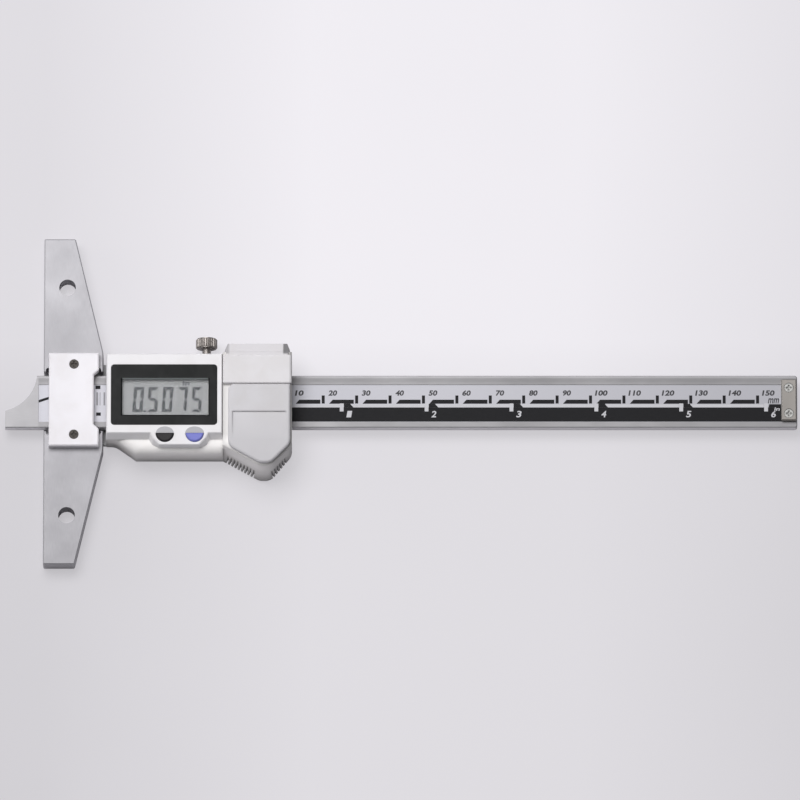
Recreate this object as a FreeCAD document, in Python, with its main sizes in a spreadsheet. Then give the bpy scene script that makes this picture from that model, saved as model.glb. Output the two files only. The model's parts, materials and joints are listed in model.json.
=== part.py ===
import FreeCAD, Part
import math
import os
import re
import Sketcher

# Digital depth gauge, lying on its back as it does on a bench.
# Frame: X runs along the beam, zero at the measuring face of the base.
# Y runs along the base, zero on the beam's centre line.
# Z stands square to the display, zero at the back of the base.

# Driving sizes in millimetres: name, value, meaning
SIZES = [
    ("base_span", 100, "base, across both arms"),
    ("base_thick", 6.5, "base, back to front"),
    ("base_arm_end", 9.4, "base, width of an arm at its end"),
    ("base_back", 17.8, "base, measuring face to back edge"),
    ("base_shoulder", 15, "base, centre line to where the back edge starts to taper"),
    ("base_chamfer", 0.3, "base, broken edges"),
    ("slot_clearance", 1.2, "base, beam edge to slot wall"),
    ("floor_thick", 2.2, "base web and frame wall behind the beam"),
    ("relief_radius", 0.8, "base, notches at the slot ends"),
    ("relief_from_end", 1.4, "base, notch centre from the slot's end"),
    ("relief_offset", 0.3, "base, notch centre beyond the slot wall"),
    ("hole_radius", 2.5, "base, holes for an extension base"),
    ("hole_spacing", 70, "base, between the two holes"),
    ("hole_from_face", 7, "base, measuring face to hole centre"),
    ("plate_from_face", 1.6, "cover plate, set back from the measuring face"),
    ("plate_wide", 14.9, "cover plate, along the beam"),
    ("plate_half", 14.3, "cover plate, half its length along the base"),
    ("plate_thick", 2.7, "cover plate"),
    ("plate_notch_deep", 1.5, "cover plate, notch in the back edge"),
    ("plate_notch_half", 7.6, "cover plate, half the notch's straight length"),
    ("plate_notch_run", 1.4, "cover plate, run of the notch's slanted ends"),
    ("plate_chamfer", 0.35, "cover plate, broken edges"),
    ("plate_screw_from_face", 9.1, "cover plate screws, from the measuring face"),
    ("plate_screw_half", 10.8, "cover plate screws, from the centre line"),
    ("screw_radius", 0.9, "small screws, shank"),
    ("screw_head_radius", 1.4, "small screws, head"),
    ("screw_head_deep", 0.7, "small screws, head"),
    ("screw_cross_long", 1.7, "small screws, arms of the cross recess"),
    ("screw_cross_wide", 0.42, "small screws, arms of the cross recess"),
    ("screw_cross_deep", 0.35, "small screws, cross recess"),
    ("screw_clearance", 0.05, "around every fixed screw"),
    ("screw_sink", 0.1, "screw faces below their surface"),
    ("screw_socket", 0.5, "headless screws, socket, centre to corner"),
    ("plate_screw_long", 6, "cover plate screws"),
    ("tongue_screw_from_back", 2.6, "tongue screws, from the base's back edge"),
    ("tongue_screw_half", 11, "tongue screws, from the centre line"),
    ("tongue_screw_long", 4.6, "tongue screws"),
    ("tongue_long", 5.8, "frame tongue let into the back of the base"),
    ("tongue_thick", 1.4, "frame tongue"),
    ("tongue_half", 12.4, "frame tongue, half its width"),
    ("tongue_clearance", 0.1, "around the sides of the tongue"),
    ("beam_long", 237, "beam, tip to end"),
    ("beam_wide", 16, "beam"),
    ("beam_thick", 3.5, "beam"),
    ("beam_reach", 11.5, "beam, tip beyond the measuring face as photographed"),
    ("beam_under", 0.3, "beam to the wall behind it"),
    ("foot_tall", 5.2, "beam foot, width of the measuring tip"),
    ("foot_long", 9.5, "beam foot, tip to full width"),
    ("foot_curve", 12.4, "beam foot, radius of its hollow edge"),
    ("beam_chamfer", 0.25, "beam, broken long edges"),
    ("beam_end_round", 0.8, "beam, corners of the far end"),
    ("rail_north", 2.75, "beam, rail beside the scale, north"),
    ("rail_south", 1.8, "beam, rail beside the scale, south"),
    ("scale_from_tip", 9.9, "beam, tip to the scale recess"),
    ("scale_deep", 0.5, "beam, scale recess"),
    ("scale_thick", 0.3, "scale strip"),
    ("scale_clearance", 0.05, "around the scale strip"),
    ("stop_wide", 4.6, "end stop, along the beam"),
    ("stop_north", 6.6, "end stop, centre line to its north end"),
    ("stop_south", 6.05, "end stop, centre line to its south end"),
    ("stop_thick", 1.5, "end stop"),
    ("stop_from_end", 0.2, "end stop, from the beam's end"),
    ("stop_chamfer", 0.3, "end stop, broken edges"),
    ("stop_screw_half", 3.95, "end stop screws, from the centre line"),
    ("stop_screw_long", 3.4, "end stop screws"),
    ("guide_clearance", 0.05, "beam to the frame's guide wall"),
    ("gib_thick", 1.2, "gib strip"),
    ("gib_gap", 0.2, "gib strip to the beam and to the frame, each"),
    ("gib_from_frame", 1.7, "gib strip, from each end of the frame"),
    ("gib_lift", 0.3, "gib strip above the frame floor"),
    ("gib_tall", 3.4, "gib strip"),
    ("gib_chamfer", 0.2, "gib strip"),
    ("gib_play", 0.1, "screw tips to the gib strip"),
    ("frame_setback", 1.7, "slider frame, from the head's far end"),
    ("wall_north", 3.4, "slider frame, wall behind the gib"),
    ("wall_south", 4.55, "slider frame, guide wall"),
    ("reader_gap", 0.4, "beam to the reading board"),
    ("frame_chamfer", 0.4, "slider frame, broken long edges"),
    ("set_screw_radius", 1, "gib set screws"),
    ("set_screw_long", 3, "gib set screws"),
    ("set_screw_from_frame", 11.2, "first gib set screw, from the frame's near end"),
    ("set_screw_from_far", 10.6, "second gib set screw, from the frame's far end"),
    ("set_screw_socket", 0.5, "gib set screws, socket, centre to corner"),
    ("set_screw_socket_deep", 1, "gib set screws, socket"),
    ("lock_from_frame", 29.9, "lock screw, from the frame's near end"),
    ("lock_shank", 1.2, "lock screw, shank radius"),
    ("lock_clearance", 0.05, "lock screw, around its shank"),
    ("lock_neck", 1.3, "lock screw, neck radius"),
    ("lock_neck_long", 3.3, "lock screw, neck between frame and knob"),
    ("lock_neck_gap", 0.3, "lock screw, neck to the frame"),
    ("lock_knob", 3.2, "lock screw, knob radius"),
    ("lock_knob_long", 3, "lock screw, knob"),
    ("lock_knob_step", 0.3, "lock screw, plain shoulders at the knob's ends"),
    ("knurl_wide", 0.4, "lock screw, width of each knurl groove"),
    ("knurl_deep", 0.2, "lock screw, depth of each knurl groove"),
    ("head_gap", 1, "base to head"),
    ("display_long", 34.9, "display cover along the beam"),
    ("block_long", 20.6, "battery block along the beam"),
    ("side_lap", 0.2, "housing beyond the frame, north"),
    ("flare_start", 13, "housing, centre line to its narrow near end"),
    ("flare_from", 2.7, "housing, near end to the flare"),
    ("flare_long", 6.2, "housing, length of the flare"),
    ("flare_round", 4, "housing, hollow corner of the flare"),
    ("skirt_reach", 17.4, "housing, centre line to the south side"),
    ("skirt_lift", 1.6, "housing skirt above the back plane"),
    ("skirt_round", 2.4, "housing, rounded south shoulder"),
    ("skirt_gap", 0.05, "housing skirt to the frame"),
    ("shell_wall", 1.6, "housing walls"),
    ("board_margin", 0.2, "around each circuit board"),
    ("ledge_wide", 2.6, "ledge that carries the main board"),
    ("roof_thick", 0.9, "housing over the main board's far end"),
    ("reader_lap", 0.35, "reading board onto the frame's walls"),
    ("reader_thick", 0.8, "reading board"),
    ("reader_end", 2.4, "reading board, from each end of the head"),
    ("board_rise", 2, "frame top to the main board"),
    ("board_thick", 0.8, "main board"),
    ("board_into_block", 1.8, "main board beyond the display cover"),
    ("contact_tall", 2, "display contact strips"),
    ("contact_wide", 1.6, "display contact strips"),
    ("contact_from_edge", 0.6, "display contact strips, from the display's edges"),
    ("lcd_thick", 2, "display panel"),
    ("lcd_gap", 0.3, "around the display panel and its window"),
    ("window_gap", 0.2, "display panel to window"),
    ("window_thick", 0.8, "window"),
    ("bezel_thick", 0.8, "bezel"),
    ("bezel_from_left", 1.5, "bezel, from the cover's near end"),
    ("bezel_from_seam", 1.7, "bezel, from the cover's far end"),
    ("bezel_half", 9.25, "bezel, half its height"),
    ("bezel_round", 1, "bezel, corners"),
    ("bezel_gap", 0.05, "around the bezel"),
    ("bezel_lip", 1.1, "seat that carries the bezel"),
    ("view_from_bezel", 3.3, "display opening, from the bezel's near edge"),
    ("view_from_far", 2.6, "display opening, from the bezel's far edge"),
    ("view_north", 4.8, "display opening, above the centre line"),
    ("view_south", 6.1, "display opening, below the centre line"),
    ("view_chamfer", 0.35, "display opening, slope of its edges"),
    ("cover_tall", 2.6, "display cover"),
    ("cover_south", 13.2, "display cover, centre line to its lower south edge"),
    ("cover_run_south", 1.4, "display cover, slope of the south edge"),
    ("cover_run_north", 0.6, "display cover, slope of the north edge"),
    ("cover_run_end", 0.25, "display cover, slope of its ends"),
    ("cover_bevel", 0.25, "display cover, broken face edges"),
    ("island_from_seam", 3.9, "button island, from the cover's far end"),
    ("island_long", 18.1, "button island, where it leaves the cover"),
    ("island_flank", 0.8, "button island, run of its steep sides"),
    ("island_corner", 2.8, "button island, run of its slanted corners"),
    ("island_flank_reach", 1.6, "button island, reach of its steep sides"),
    ("island_reach", 2.5, "button island beyond the cover"),
    ("island_run", 0.3, "button island, slope of its edge"),
    ("button_radius", 2.65, "buttons"),
    ("button_flat", 11.8, "buttons, centre line to their flat side"),
    ("button_from_island", 4.7, "first button, from the island's near end"),
    ("button_spacing", 8.9, "between the buttons"),
    ("button_gap", 0.12, "around the buttons"),
    ("button_rise", 0.5, "buttons above the cover"),
    ("button_chamfer", 0.4, "buttons, broken edge"),
    ("button_flange", 0.25, "button flange beyond the button"),
    ("button_flange_thick", 0.7, "button flange"),
    ("button_flange_gap", 0.1, "button flange to the cover and to the deck"),
    ("button_stem", 0.4, "button stem below the cover"),
    ("button_stem_wide", 1.8, "button stem"),
    ("key_dome_gap", 0.5, "button stem to the keypad dome"),
    ("keypad_thick", 0.5, "keypad mat"),
    ("key_dome_radius", 1.1, "keypad domes"),
    ("key_dome_tall", 0.45, "keypad domes"),
    ("block_rise", 2.2, "battery block above the deck"),
    ("block_round", 3.8, "battery block, corners of the thumb rest"),
    ("thumb_reach", 23.4, "thumb rest, centre line to its tip"),
    ("thumb_far", 6.3, "thumb rest, from its tip to the block's far end"),
    ("thumb_tip_long", 3.4, "thumb rest, length of the tip"),
    ("thumb_right", 15.8, "thumb rest, centre line to its far corner"),
    ("thumb_run", 2, "thumb rest, slope of its side"),
    ("thumb_run_left", 2.1, "thumb rest, slope at its near corner"),
    ("thumb_run_right", 0.4, "thumb rest, slope at its far corner"),
    ("rib_spacing", 1.1, "grip grooves"),
    ("rib_groove", 0.5, "grip grooves, width"),
    ("rib_deep", 1.1, "grip grooves, depth at the foot of the side"),
    ("rib_tall", 6.6, "grip grooves, height"),
    ("lid_thick", 1.4, "battery lid and connector cap"),
    ("lid_gap_left", 1.6, "battery lid, from the block's near end"),
    ("lid_gap_right", 0.4, "battery lid, from the block's far end"),
    ("lid_gap_south", 0.45, "battery lid, from the block's south edge"),
    ("lid_round", 3.4, "battery lid, corners over the thumb rest"),
    ("lid_cut", 1.3, "battery lid, cut corner beside the seam"),
    ("lid_chamfer", 0.35, "battery lid, broken face edges"),
    ("lid_split", 3.2, "battery lid, centre line to its north edge"),
    ("lid_line", 0.15, "battery lid to connector cap"),
    ("lid_dish", 0.3, "battery lid, lowered thumb area"),
    ("lid_dish_north", 5.3, "battery lid, centre line to the lowered area"),
    ("lid_dish_from_edge", 1.3, "battery lid, lowered area from the lid's edges"),
    ("cap_ridge", 12, "connector cap, centre line to its ridge"),
    ("cap_reach", 16.6, "connector cap, centre line to its lip"),
    ("cap_drop", 5, "connector cap, ridge down to its lip"),
    ("cap_lip", 1.2, "connector cap, lip"),
    ("cap_tuck", 1, "connector cap, slope back under the lip"),
    ("cap_gap", 0.05, "connector cap to the housing"),
    ("cap_end_run", 1.4, "connector cap, slant of its ends in plan"),
    ("cap_bevel", 1.3, "connector cap, bevel at the ends of its hook"),
    ("cap_round", 0.35, "connector cap, face edges"),
    ("battery_radius", 5.8, "button cell"),
    ("battery_tall", 5.4, "button cell"),
    ("battery_gap", 0.3, "around the button cell"),
    ("battery_from_middle", 0.4, "button cell, from the block's middle"),
    ("battery_south", 12.2, "button cell, centre line to its centre"),
    ("spring_thick", 0.2, "battery contacts"),
    ("spring_wide", 3, "battery contacts"),
    ("side_spring_wide", 1.2, "battery contact beside the cell"),
    ("spring_long", 8, "battery contacts"),
    ("spring_rise", 0.5, "battery contacts, bow under the cell"),
    ("seal_wide", 0.8, "battery seal"),
    ("seal_deep", 0.4, "battery seal"),
    ("seal_gap", 0.1, "around the battery seal"),
    ("port_long", 13, "data socket along the beam"),
    ("port_wide", 5.4, "data socket"),
    ("port_tall", 4.6, "data socket"),
    ("port_wall", 0.9, "data socket walls"),
    ("port_south", 4.9, "data socket, centre line to its south wall"),
    ("port_gap", 0.1, "around the data socket"),
    ("port_pin", 0.5, "data socket pins, width"),
    ("port_pin_spacing", 2, "data socket pins"),
    ("port_seal", 0.7, "data socket seal, width"),
    ("port_seal_deep", 0.5, "data socket seal, depth"),
    ("unit_screw_from_end", 4.2, "unit screws, from each end of the frame"),
    ("unit_screw_long", 7.8, "unit screws"),
    ("overrun", 1, "how far a cut runs past what it cuts"),
]

NAMES = {name for name, value, meaning in SIZES}
PIN_COUNT = 5
KNURL_COUNT = 28
THREAD_SIDES = 12
RING_SIDES = 24
SOCKET_SIDES = 6
NEAR = 1e-4

# Levels above the back plane, worked out from the stack of pieces
BEAM_BACK = "(floor_thick + beam_under)"
BEAM_FRONT = "(floor_thick + beam_under + beam_thick)"
FRAME_TOP = "(floor_thick + beam_under + beam_thick + reader_gap)"
BOARD_SEAT = f"({FRAME_TOP} + board_rise)"
LCD_BACK = f"({BOARD_SEAT} + board_thick + contact_tall)"
WINDOW_BACK = f"({LCD_BACK} + lcd_thick + window_gap)"
BEZEL_BACK = f"({WINDOW_BACK} + window_thick)"
FACE = f"({BEZEL_BACK} + bezel_thick)"
DECK = f"({FACE} - cover_tall)"
BLOCK_TOP = f"({DECK} + block_rise)"
LID_FACE = f"({BLOCK_TOP} + lid_thick)"
SCREW_LEVEL = f"({BEAM_BACK} + beam_thick / 2)"
KEY_DEPTH = "(button_flange_gap + button_stem + key_dome_gap + key_dome_tall + keypad_thick)"
CELL_DEPTH = "(battery_tall + spring_rise + spring_thick + battery_gap)"

# Places along the beam and across it
HEAD_LEFT = "(base_back + head_gap)"
HEAD_LONG = "(display_long + block_long)"
HEAD_RIGHT = f"({HEAD_LEFT} + {HEAD_LONG})"
SEAM = f"({HEAD_LEFT} + display_long)"
FRAME_LONG = f"({HEAD_LONG} - frame_setback)"
CELL_X = f"({SEAM} + block_long / 2 + battery_from_middle)"
PORT_LEFT = f"(({SEAM} + {HEAD_RIGHT}) / 2 - port_long / 2)"
BEAM_TIP = "(-beam_reach)"
BEAM_END = "(beam_long - beam_reach)"
BEAM_HALF = "(beam_wide / 2)"
SLOT_HALF = f"({BEAM_HALF} + slot_clearance)"
GIB_SOUTH = f"({BEAM_HALF} + gib_gap)"
CHANNEL_NORTH = f"({GIB_SOUTH} + gib_thick + gib_gap)"
CHANNEL_SOUTH = f"({BEAM_HALF} + guide_clearance)"
FRAME_NORTH = f"({CHANNEL_NORTH} + wall_north)"
FRAME_SOUTH = f"({CHANNEL_SOUTH} + wall_south)"
HOUSING_NORTH = f"({FRAME_NORTH} + side_lap)"
BEZEL_LEFT = f"({HEAD_LEFT} + bezel_from_left)"
BEZEL_RIGHT = f"({SEAM} - bezel_from_seam)"
VIEW_LEFT = f"({BEZEL_LEFT} + view_from_bezel)"
VIEW_RIGHT = f"({BEZEL_RIGHT} - view_from_far)"
ISLAND_RIGHT = f"({SEAM} - island_from_seam)"
ISLAND_LEFT = f"({ISLAND_RIGHT} - island_long)"
THUMB_RIGHT = f"({HEAD_RIGHT} - thumb_far)"
THUMB_LEFT = f"({THUMB_RIGHT} - thumb_tip_long)"

doc = FreeCAD.newDocument("depth_gauge")
sheet = doc.addObject("Spreadsheet::Sheet", "size")
for row, (name, value, meaning) in enumerate(SIZES, 1):
    sheet.set(f"A{row}", name)
    sheet.set(f"B{row}", str(value))
    sheet.set(f"C{row}", meaning)
    sheet.setAlias(f"B{row}", name)
doc.recompute()


def bound(expression):
    """The expression with each size's name pointing at its cell."""
    return re.sub(r"[a-z_]+", lambda word: "size." + word.group() if word.group() in NAMES else word.group(),
                  expression)


def amount(expression):
    """The expression's value in millimetres."""
    return float(sheet.evalExpression(bound(expression)))


def bind(target, prop, expression):
    if expression != "0":
        target.setExpression(prop, bound(expression))


def new_body(label):
    body = doc.addObject("PartDesign::Body", label)
    body.Label = label
    return body


def origin_plane(body, role):
    return [item for item in body.Origin.OriginFeatures if item.Role == role][0]


def fix_point(view, edge, end, x, y):
    """Hold one end of an edge at x, y measured from the sketch's origin."""
    for kind, axis, expression in (("DistanceX", -2, x), ("DistanceY", -1, y)):
        if expression == "0":
            view.addConstraint(Sketcher.Constraint("PointOnObject", edge, end, axis))
        else:
            number = view.addConstraint(Sketcher.Constraint(kind, -1, 1, edge, end, amount(expression)))
            view.setExpression(f"Constraints[{number}]", bound(expression))


def draw_outline(view, corners):
    """A closed outline. A corner is x, y, or x, y, radius, side for an arc to the next corner.

    Side is 1 where the arc's centre lies left of the way to the next corner, and -1 where right.
    """
    points = [FreeCAD.Vector(amount(corner[0]), amount(corner[1]), 0) for corner in corners]
    ends = []
    for index, corner in enumerate(corners):
        start = points[index]
        finish = points[(index + 1) % len(points)]
        if len(corner) == 2:
            ends.append((view.addGeometry(Part.LineSegment(start, finish), False), 1, 2))
            continue
        radius = amount(corner[2])
        half = (finish - start) * 0.5
        left = FreeCAD.Vector(-half.y, half.x, 0).normalize() * corner[3]
        centre = start + half + left * math.sqrt(max(radius ** 2 - half.Length ** 2, 0))
        edge = view.addGeometry(Part.Arc(start, centre - left * radius, finish), False)
        number = view.addConstraint(Sketcher.Constraint("Radius", edge, radius))
        view.setExpression(f"Constraints[{number}]", bound(corner[2]))
        ends.append((edge, 1, 2) if corner[3] > 0 else (edge, 2, 1))
    for index, (edge, first, last) in enumerate(ends):
        following = ends[(index + 1) % len(ends)]
        view.addConstraint(Sketcher.Constraint("Coincident", edge, last, following[0], following[1]))
        fix_point(view, edge, first, corners[index][0], corners[index][1])


def draw_circle(view, x, y, radius):
    circle = Part.Circle(FreeCAD.Vector(amount(x), amount(y), 0), FreeCAD.Vector(0, 0, 1), amount(radius))
    edge = view.addGeometry(circle, False)
    number = view.addConstraint(Sketcher.Constraint("Radius", edge, amount(radius)))
    view.setExpression(f"Constraints[{number}]", bound(radius))
    fix_point(view, edge, 3, x, y)


def sketch(body, name, plane, outlines=(), circles=(), at=("0", "0", "0")):
    """A sketch on one of the body's own planes, its origin moved to at in the sketch's own axes."""
    view = body.newObject("Sketcher::SketchObject", name)
    view.AttachmentSupport = [(origin_plane(body, plane), "")]
    view.MapMode = "FlatFace"
    for axis, expression in zip("xyz", at):
        bind(view, f"AttachmentOffset.Base.{axis}", expression)
    for corners in outlines:
        draw_outline(view, corners)
    for circle in circles:
        draw_circle(view, *circle)
    doc.recompute()
    return view


def rectangle(left, south, right, north):
    return [(left, south), (right, south), (right, north), (left, north)]


def pad(body, name, view, length, reverse=False):
    feature = body.newObject("PartDesign::Pad", name)
    feature.Profile = view
    feature.Reversed = reverse
    bind(feature, "Length", length)
    doc.recompute()
    return feature


def checked_cut(body, before):
    if body.Shape.Volume >= before:
        raise ValueError(f"{body.Tip.Name} cuts nothing from {body.Label}")


def pocket(body, name, view, length, upward=False):
    """A cut against the sketch's normal, or along it where upward is true."""
    before = body.Shape.Volume
    feature = body.newObject("PartDesign::Pocket", name)
    feature.Profile = view
    feature.Reversed = upward
    bind(feature, "Length", length)
    doc.recompute()
    checked_cut(body, before)
    return feature


def revolve(body, name, view):
    feature = body.newObject("PartDesign::Revolution", name)
    feature.Profile = view
    feature.ReferenceAxis = (view, ["V_Axis"])
    feature.Angle = 360
    doc.recompute()
    return feature


def groove(body, name, view):
    before = body.Shape.Volume
    feature = body.newObject("PartDesign::Groove", name)
    feature.Profile = view
    feature.ReferenceAxis = (view, ["V_Axis"])
    feature.Angle = 360
    doc.recompute()
    checked_cut(body, before)
    return feature


def loft(body, name, first, others):
    """Straight-sided solid through plans of like corners."""
    feature = body.newObject("PartDesign::AdditiveLoft", name)
    feature.Profile = first
    feature.Sections = others
    feature.Ruled = True
    doc.recompute()
    return feature


def edges_where(feature, test):
    """Names of the feature's edges whose box passes the test."""
    return [f"Edge{number}" for number, edge in enumerate(feature.Shape.Edges, 1) if test(edge.BoundBox)]


def upright(box):
    return box.XLength < NEAR and box.YLength < NEAR


def level_at(box, level):
    return box.ZLength < NEAR and abs(box.ZMin - level) < NEAR


def fillet(body, name, feature, test, radius):
    rounding = body.newObject("PartDesign::Fillet", name)
    rounding.Base = (feature, edges_where(feature, test))
    bind(rounding, "Radius", radius)
    doc.recompute()
    return rounding


def chamfer(body, name, feature, test, length):
    bevel = body.newObject("PartDesign::Chamfer", name)
    bevel.Base = (feature, edges_where(feature, test))
    bind(bevel, "Size", length)
    doc.recompute()
    return bevel


def cross(long, wide):
    """A cross of two arms about the origin."""
    reach, side = f"({long} / 2)", f"({wide} / 2)"
    return [
        (reach, f"-{side}"),
        (reach, side),
        (side, side),
        (side, reach),
        (f"-{side}", reach),
        (f"-{side}", side),
        (f"-{reach}", side),
        (f"-{reach}", f"-{side}"),
        (f"-{side}", f"-{side}"),
        (f"-{side}", f"-{reach}"),
        (side, f"-{reach}"),
        (side, f"-{side}"),
    ]


def polygon(sides, radius, x="0", y="0"):
    """An even polygon about x, y with the given distance to its corners."""
    corners = []
    for number in range(sides):
        turn = 2 * math.pi * number / sides
        across_share, along_share = round(math.cos(turn), 5), round(math.sin(turn), 5)
        across = f"{x} + {across_share} * ({radius})" if across_share else x
        along = f"{y} + {along_share} * ({radius})" if along_share else y
        corners.append((across, along))
    return corners


def drive(body, name, level, upward, outline, x, y):
    """The recess for the driver in a screw's face."""
    recess = sketch(body, name, "XY_Plane", [outline], at=(x, y, level))
    pocket(body, f"{name}_cut", recess, "screw_cross_deep", upward=not upward)


def head_screws(label, places, level, length):
    """Screws with flat round heads and a cross recess, faces up at the level."""
    body = new_body(label)
    for number, (x, y) in enumerate(places, 1):
        section = sketch(body, f"{label}_section{number}", "XZ_Plane", [[
            ("0", "0"),
            ("screw_head_radius", "0"),
            ("screw_head_radius", "-screw_head_deep"),
            ("screw_radius", "-screw_head_deep"),
            ("screw_radius", f"-({length})"),
            ("0", f"-({length})"),
        ]], at=(x, level, f"-({y})"))
        revolve(body, f"{label}_turned{number}", section)
        arms = cross("screw_cross_long", "screw_cross_wide")
        drive(body, f"{label}_cross{number}", level, True, arms, x, y)


def rear_screws(label, places, level, length):
    """Headless screws with a hexagon socket, faces down at the level."""
    body = new_body(label)
    shanks = sketch(body, f"{label}_plan", "XY_Plane", circles=[(x, y, "screw_radius") for x, y in places],
                    at=("0", "0", level))
    pad(body, f"{label}_shanks", shanks, length)
    for number, (x, y) in enumerate(places, 1):
        drive(body, f"{label}_socket{number}", level, False, polygon(SOCKET_SIDES, "screw_socket"), x, y)


def head_holes(body, name, places, level, length):
    """The stepped holes that those screws sit in, a clearance larger."""
    for number, (x, y) in enumerate(places, 1):
        section = sketch(body, f"{name}_section{number}", "XZ_Plane", [[
            ("0", "overrun"),
            ("screw_head_radius + screw_clearance", "overrun"),
            ("screw_head_radius + screw_clearance", "-screw_head_deep"),
            ("screw_radius + screw_clearance", "-screw_head_deep"),
            ("screw_radius + screw_clearance", f"-({length})"),
            ("0", f"-({length})"),
        ]], at=(x, level, f"-({y})"))
        groove(body, f"{name}_hole{number}", section)


def rear_holes(body, name, places, length):
    """Plain holes from the back plane."""
    plan = sketch(body, f"{name}_plan", "XY_Plane", circles=[
        (x, y, "screw_radius + screw_clearance") for x, y in places
    ], at=("0", "0", "-overrun"))
    pocket(body, f"{name}_holes", plan, f"overrun + {length}", upward=True)


def tapped(body, name, places, level, length, upward=False):
    """Holes that stand for the tapped ones, from the level down, or up where upward is true."""
    plan = sketch(body, f"{name}_plan", "XY_Plane", [
        polygon(THREAD_SIDES, "screw_radius + screw_clearance", x, y) for x, y in places
    ], at=("0", "0", level))
    pocket(body, f"{name}_tapped", plan, length, upward=upward)


PLATE_SCREWS = [("plate_screw_from_face", "plate_screw_half"),
                ("plate_screw_from_face", "-plate_screw_half")]
PLATE_FACE = "(base_thick + plate_thick)"
TONGUE_SCREWS = [("(base_back - tongue_screw_from_back)", "tongue_screw_half"),
                 ("(base_back - tongue_screw_from_back)", "-tongue_screw_half")]
STOP_SCREWS = [(f"({BEAM_END} - stop_from_end - stop_wide / 2)", "stop_screw_half"),
               (f"({BEAM_END} - stop_from_end - stop_wide / 2)", "-stop_screw_half")]
UNIT_SCREWS = [(x, y)
               for x in (f"({HEAD_LEFT} + unit_screw_from_end)",
                         f"({HEAD_LEFT} + {FRAME_LONG} - unit_screw_from_end)")
               for y in (f"({FRAME_NORTH} - wall_north / 2)", f"(-({FRAME_SOUTH} - wall_south / 2))")]
SET_SCREWS = [f"({HEAD_LEFT} + set_screw_from_frame)", f"({HEAD_LEFT} + {FRAME_LONG} - set_screw_from_far)"]
BUTTONS = [f"({ISLAND_LEFT} + button_from_island)", f"({ISLAND_LEFT} + button_from_island + button_spacing)"]


def make_base():
    """The ground steel base: two tapered arms and the slot that the beam slides through."""
    body = new_body("base")
    plan = sketch(body, "base_plan", "XY_Plane", [[
        ("0", "-base_span / 2"),
        ("base_arm_end", "-base_span / 2"),
        ("base_back", "-base_shoulder"),
        ("base_back", "base_shoulder"),
        ("base_arm_end", "base_span / 2"),
        ("0", "base_span / 2"),
    ]])
    block = pad(body, "base_block", plan, "base_thick")
    chamfer(body, "base_edges", block, lambda box: True, "base_chamfer")
    slot = sketch(body, "base_slot_plan", "XY_Plane", [
        rectangle("-overrun", f"-{SLOT_HALF}", "base_back + overrun", SLOT_HALF),
    ], at=("0", "0", "base_thick + overrun"))
    pocket(body, "base_slot", slot, "base_thick + overrun - floor_thick")
    notch_y = f"({SLOT_HALF} + relief_offset)"
    for number, (x, y) in enumerate([(x, y) for x in ("relief_from_end", "(base_back - relief_from_end)")
                                     for y in (notch_y, f"-{notch_y}")], 1):
        notch = sketch(body, f"base_notch_plan{number}", "XY_Plane", circles=[(x, y, "relief_radius")],
                       at=("0", "0", "base_thick + overrun"))
        pocket(body, f"base_notch{number}", notch, "base_thick + overrun - floor_thick")
    holes = sketch(body, "base_holes_plan", "XY_Plane", circles=[
        ("hole_from_face", "hole_spacing / 2", "hole_radius"),
        ("hole_from_face", "-hole_spacing / 2", "hole_radius"),
    ], at=("0", "0", "base_thick + overrun"))
    pocket(body, "base_holes", holes, "base_thick + 2 * overrun")
    seat = sketch(body, "base_tongue_plan", "XY_Plane", [
        rectangle("base_back - tongue_long - tongue_clearance", "-tongue_half - tongue_clearance",
                  "base_back + overrun", "tongue_half + tongue_clearance"),
    ], at=("0", "0", "-overrun"))
    pocket(body, "base_tongue_seat", seat, "tongue_thick + overrun", upward=True)
    tapped(body, "base_front", PLATE_SCREWS, "base_thick + overrun",
           "overrun + plate_screw_long - plate_thick + screw_clearance")
    tapped(body, "base_rear", TONGUE_SCREWS, "0", "tongue_screw_long + screw_sink + screw_clearance",
           upward=True)
    return body


def make_cover_plate():
    """The plate that closes the beam slot, with a shallow notch in its back edge."""
    body = new_body("base_cover_plate")
    back = "(plate_from_face + plate_wide)"
    notch = f"({back} - plate_notch_deep)"
    plan = sketch(body, "plate_plan", "XY_Plane", [[
        ("plate_from_face", "-plate_half"),
        (back, "-plate_half"),
        (back, "-(plate_notch_half + plate_notch_run)"),
        (notch, "-plate_notch_half"),
        (notch, "plate_notch_half"),
        (back, "plate_notch_half + plate_notch_run"),
        (back, "plate_half"),
        ("plate_from_face", "plate_half"),
    ]], at=("0", "0", "base_thick"))
    slab = pad(body, "plate_slab", plan, "plate_thick")
    top = amount(PLATE_FACE)
    chamfer(body, "plate_edges", slab, lambda box: level_at(box, top), "plate_chamfer")
    head_holes(body, "plate_screw", PLATE_SCREWS, f"{PLATE_FACE} - screw_sink", "plate_screw_long")
    return body


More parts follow.
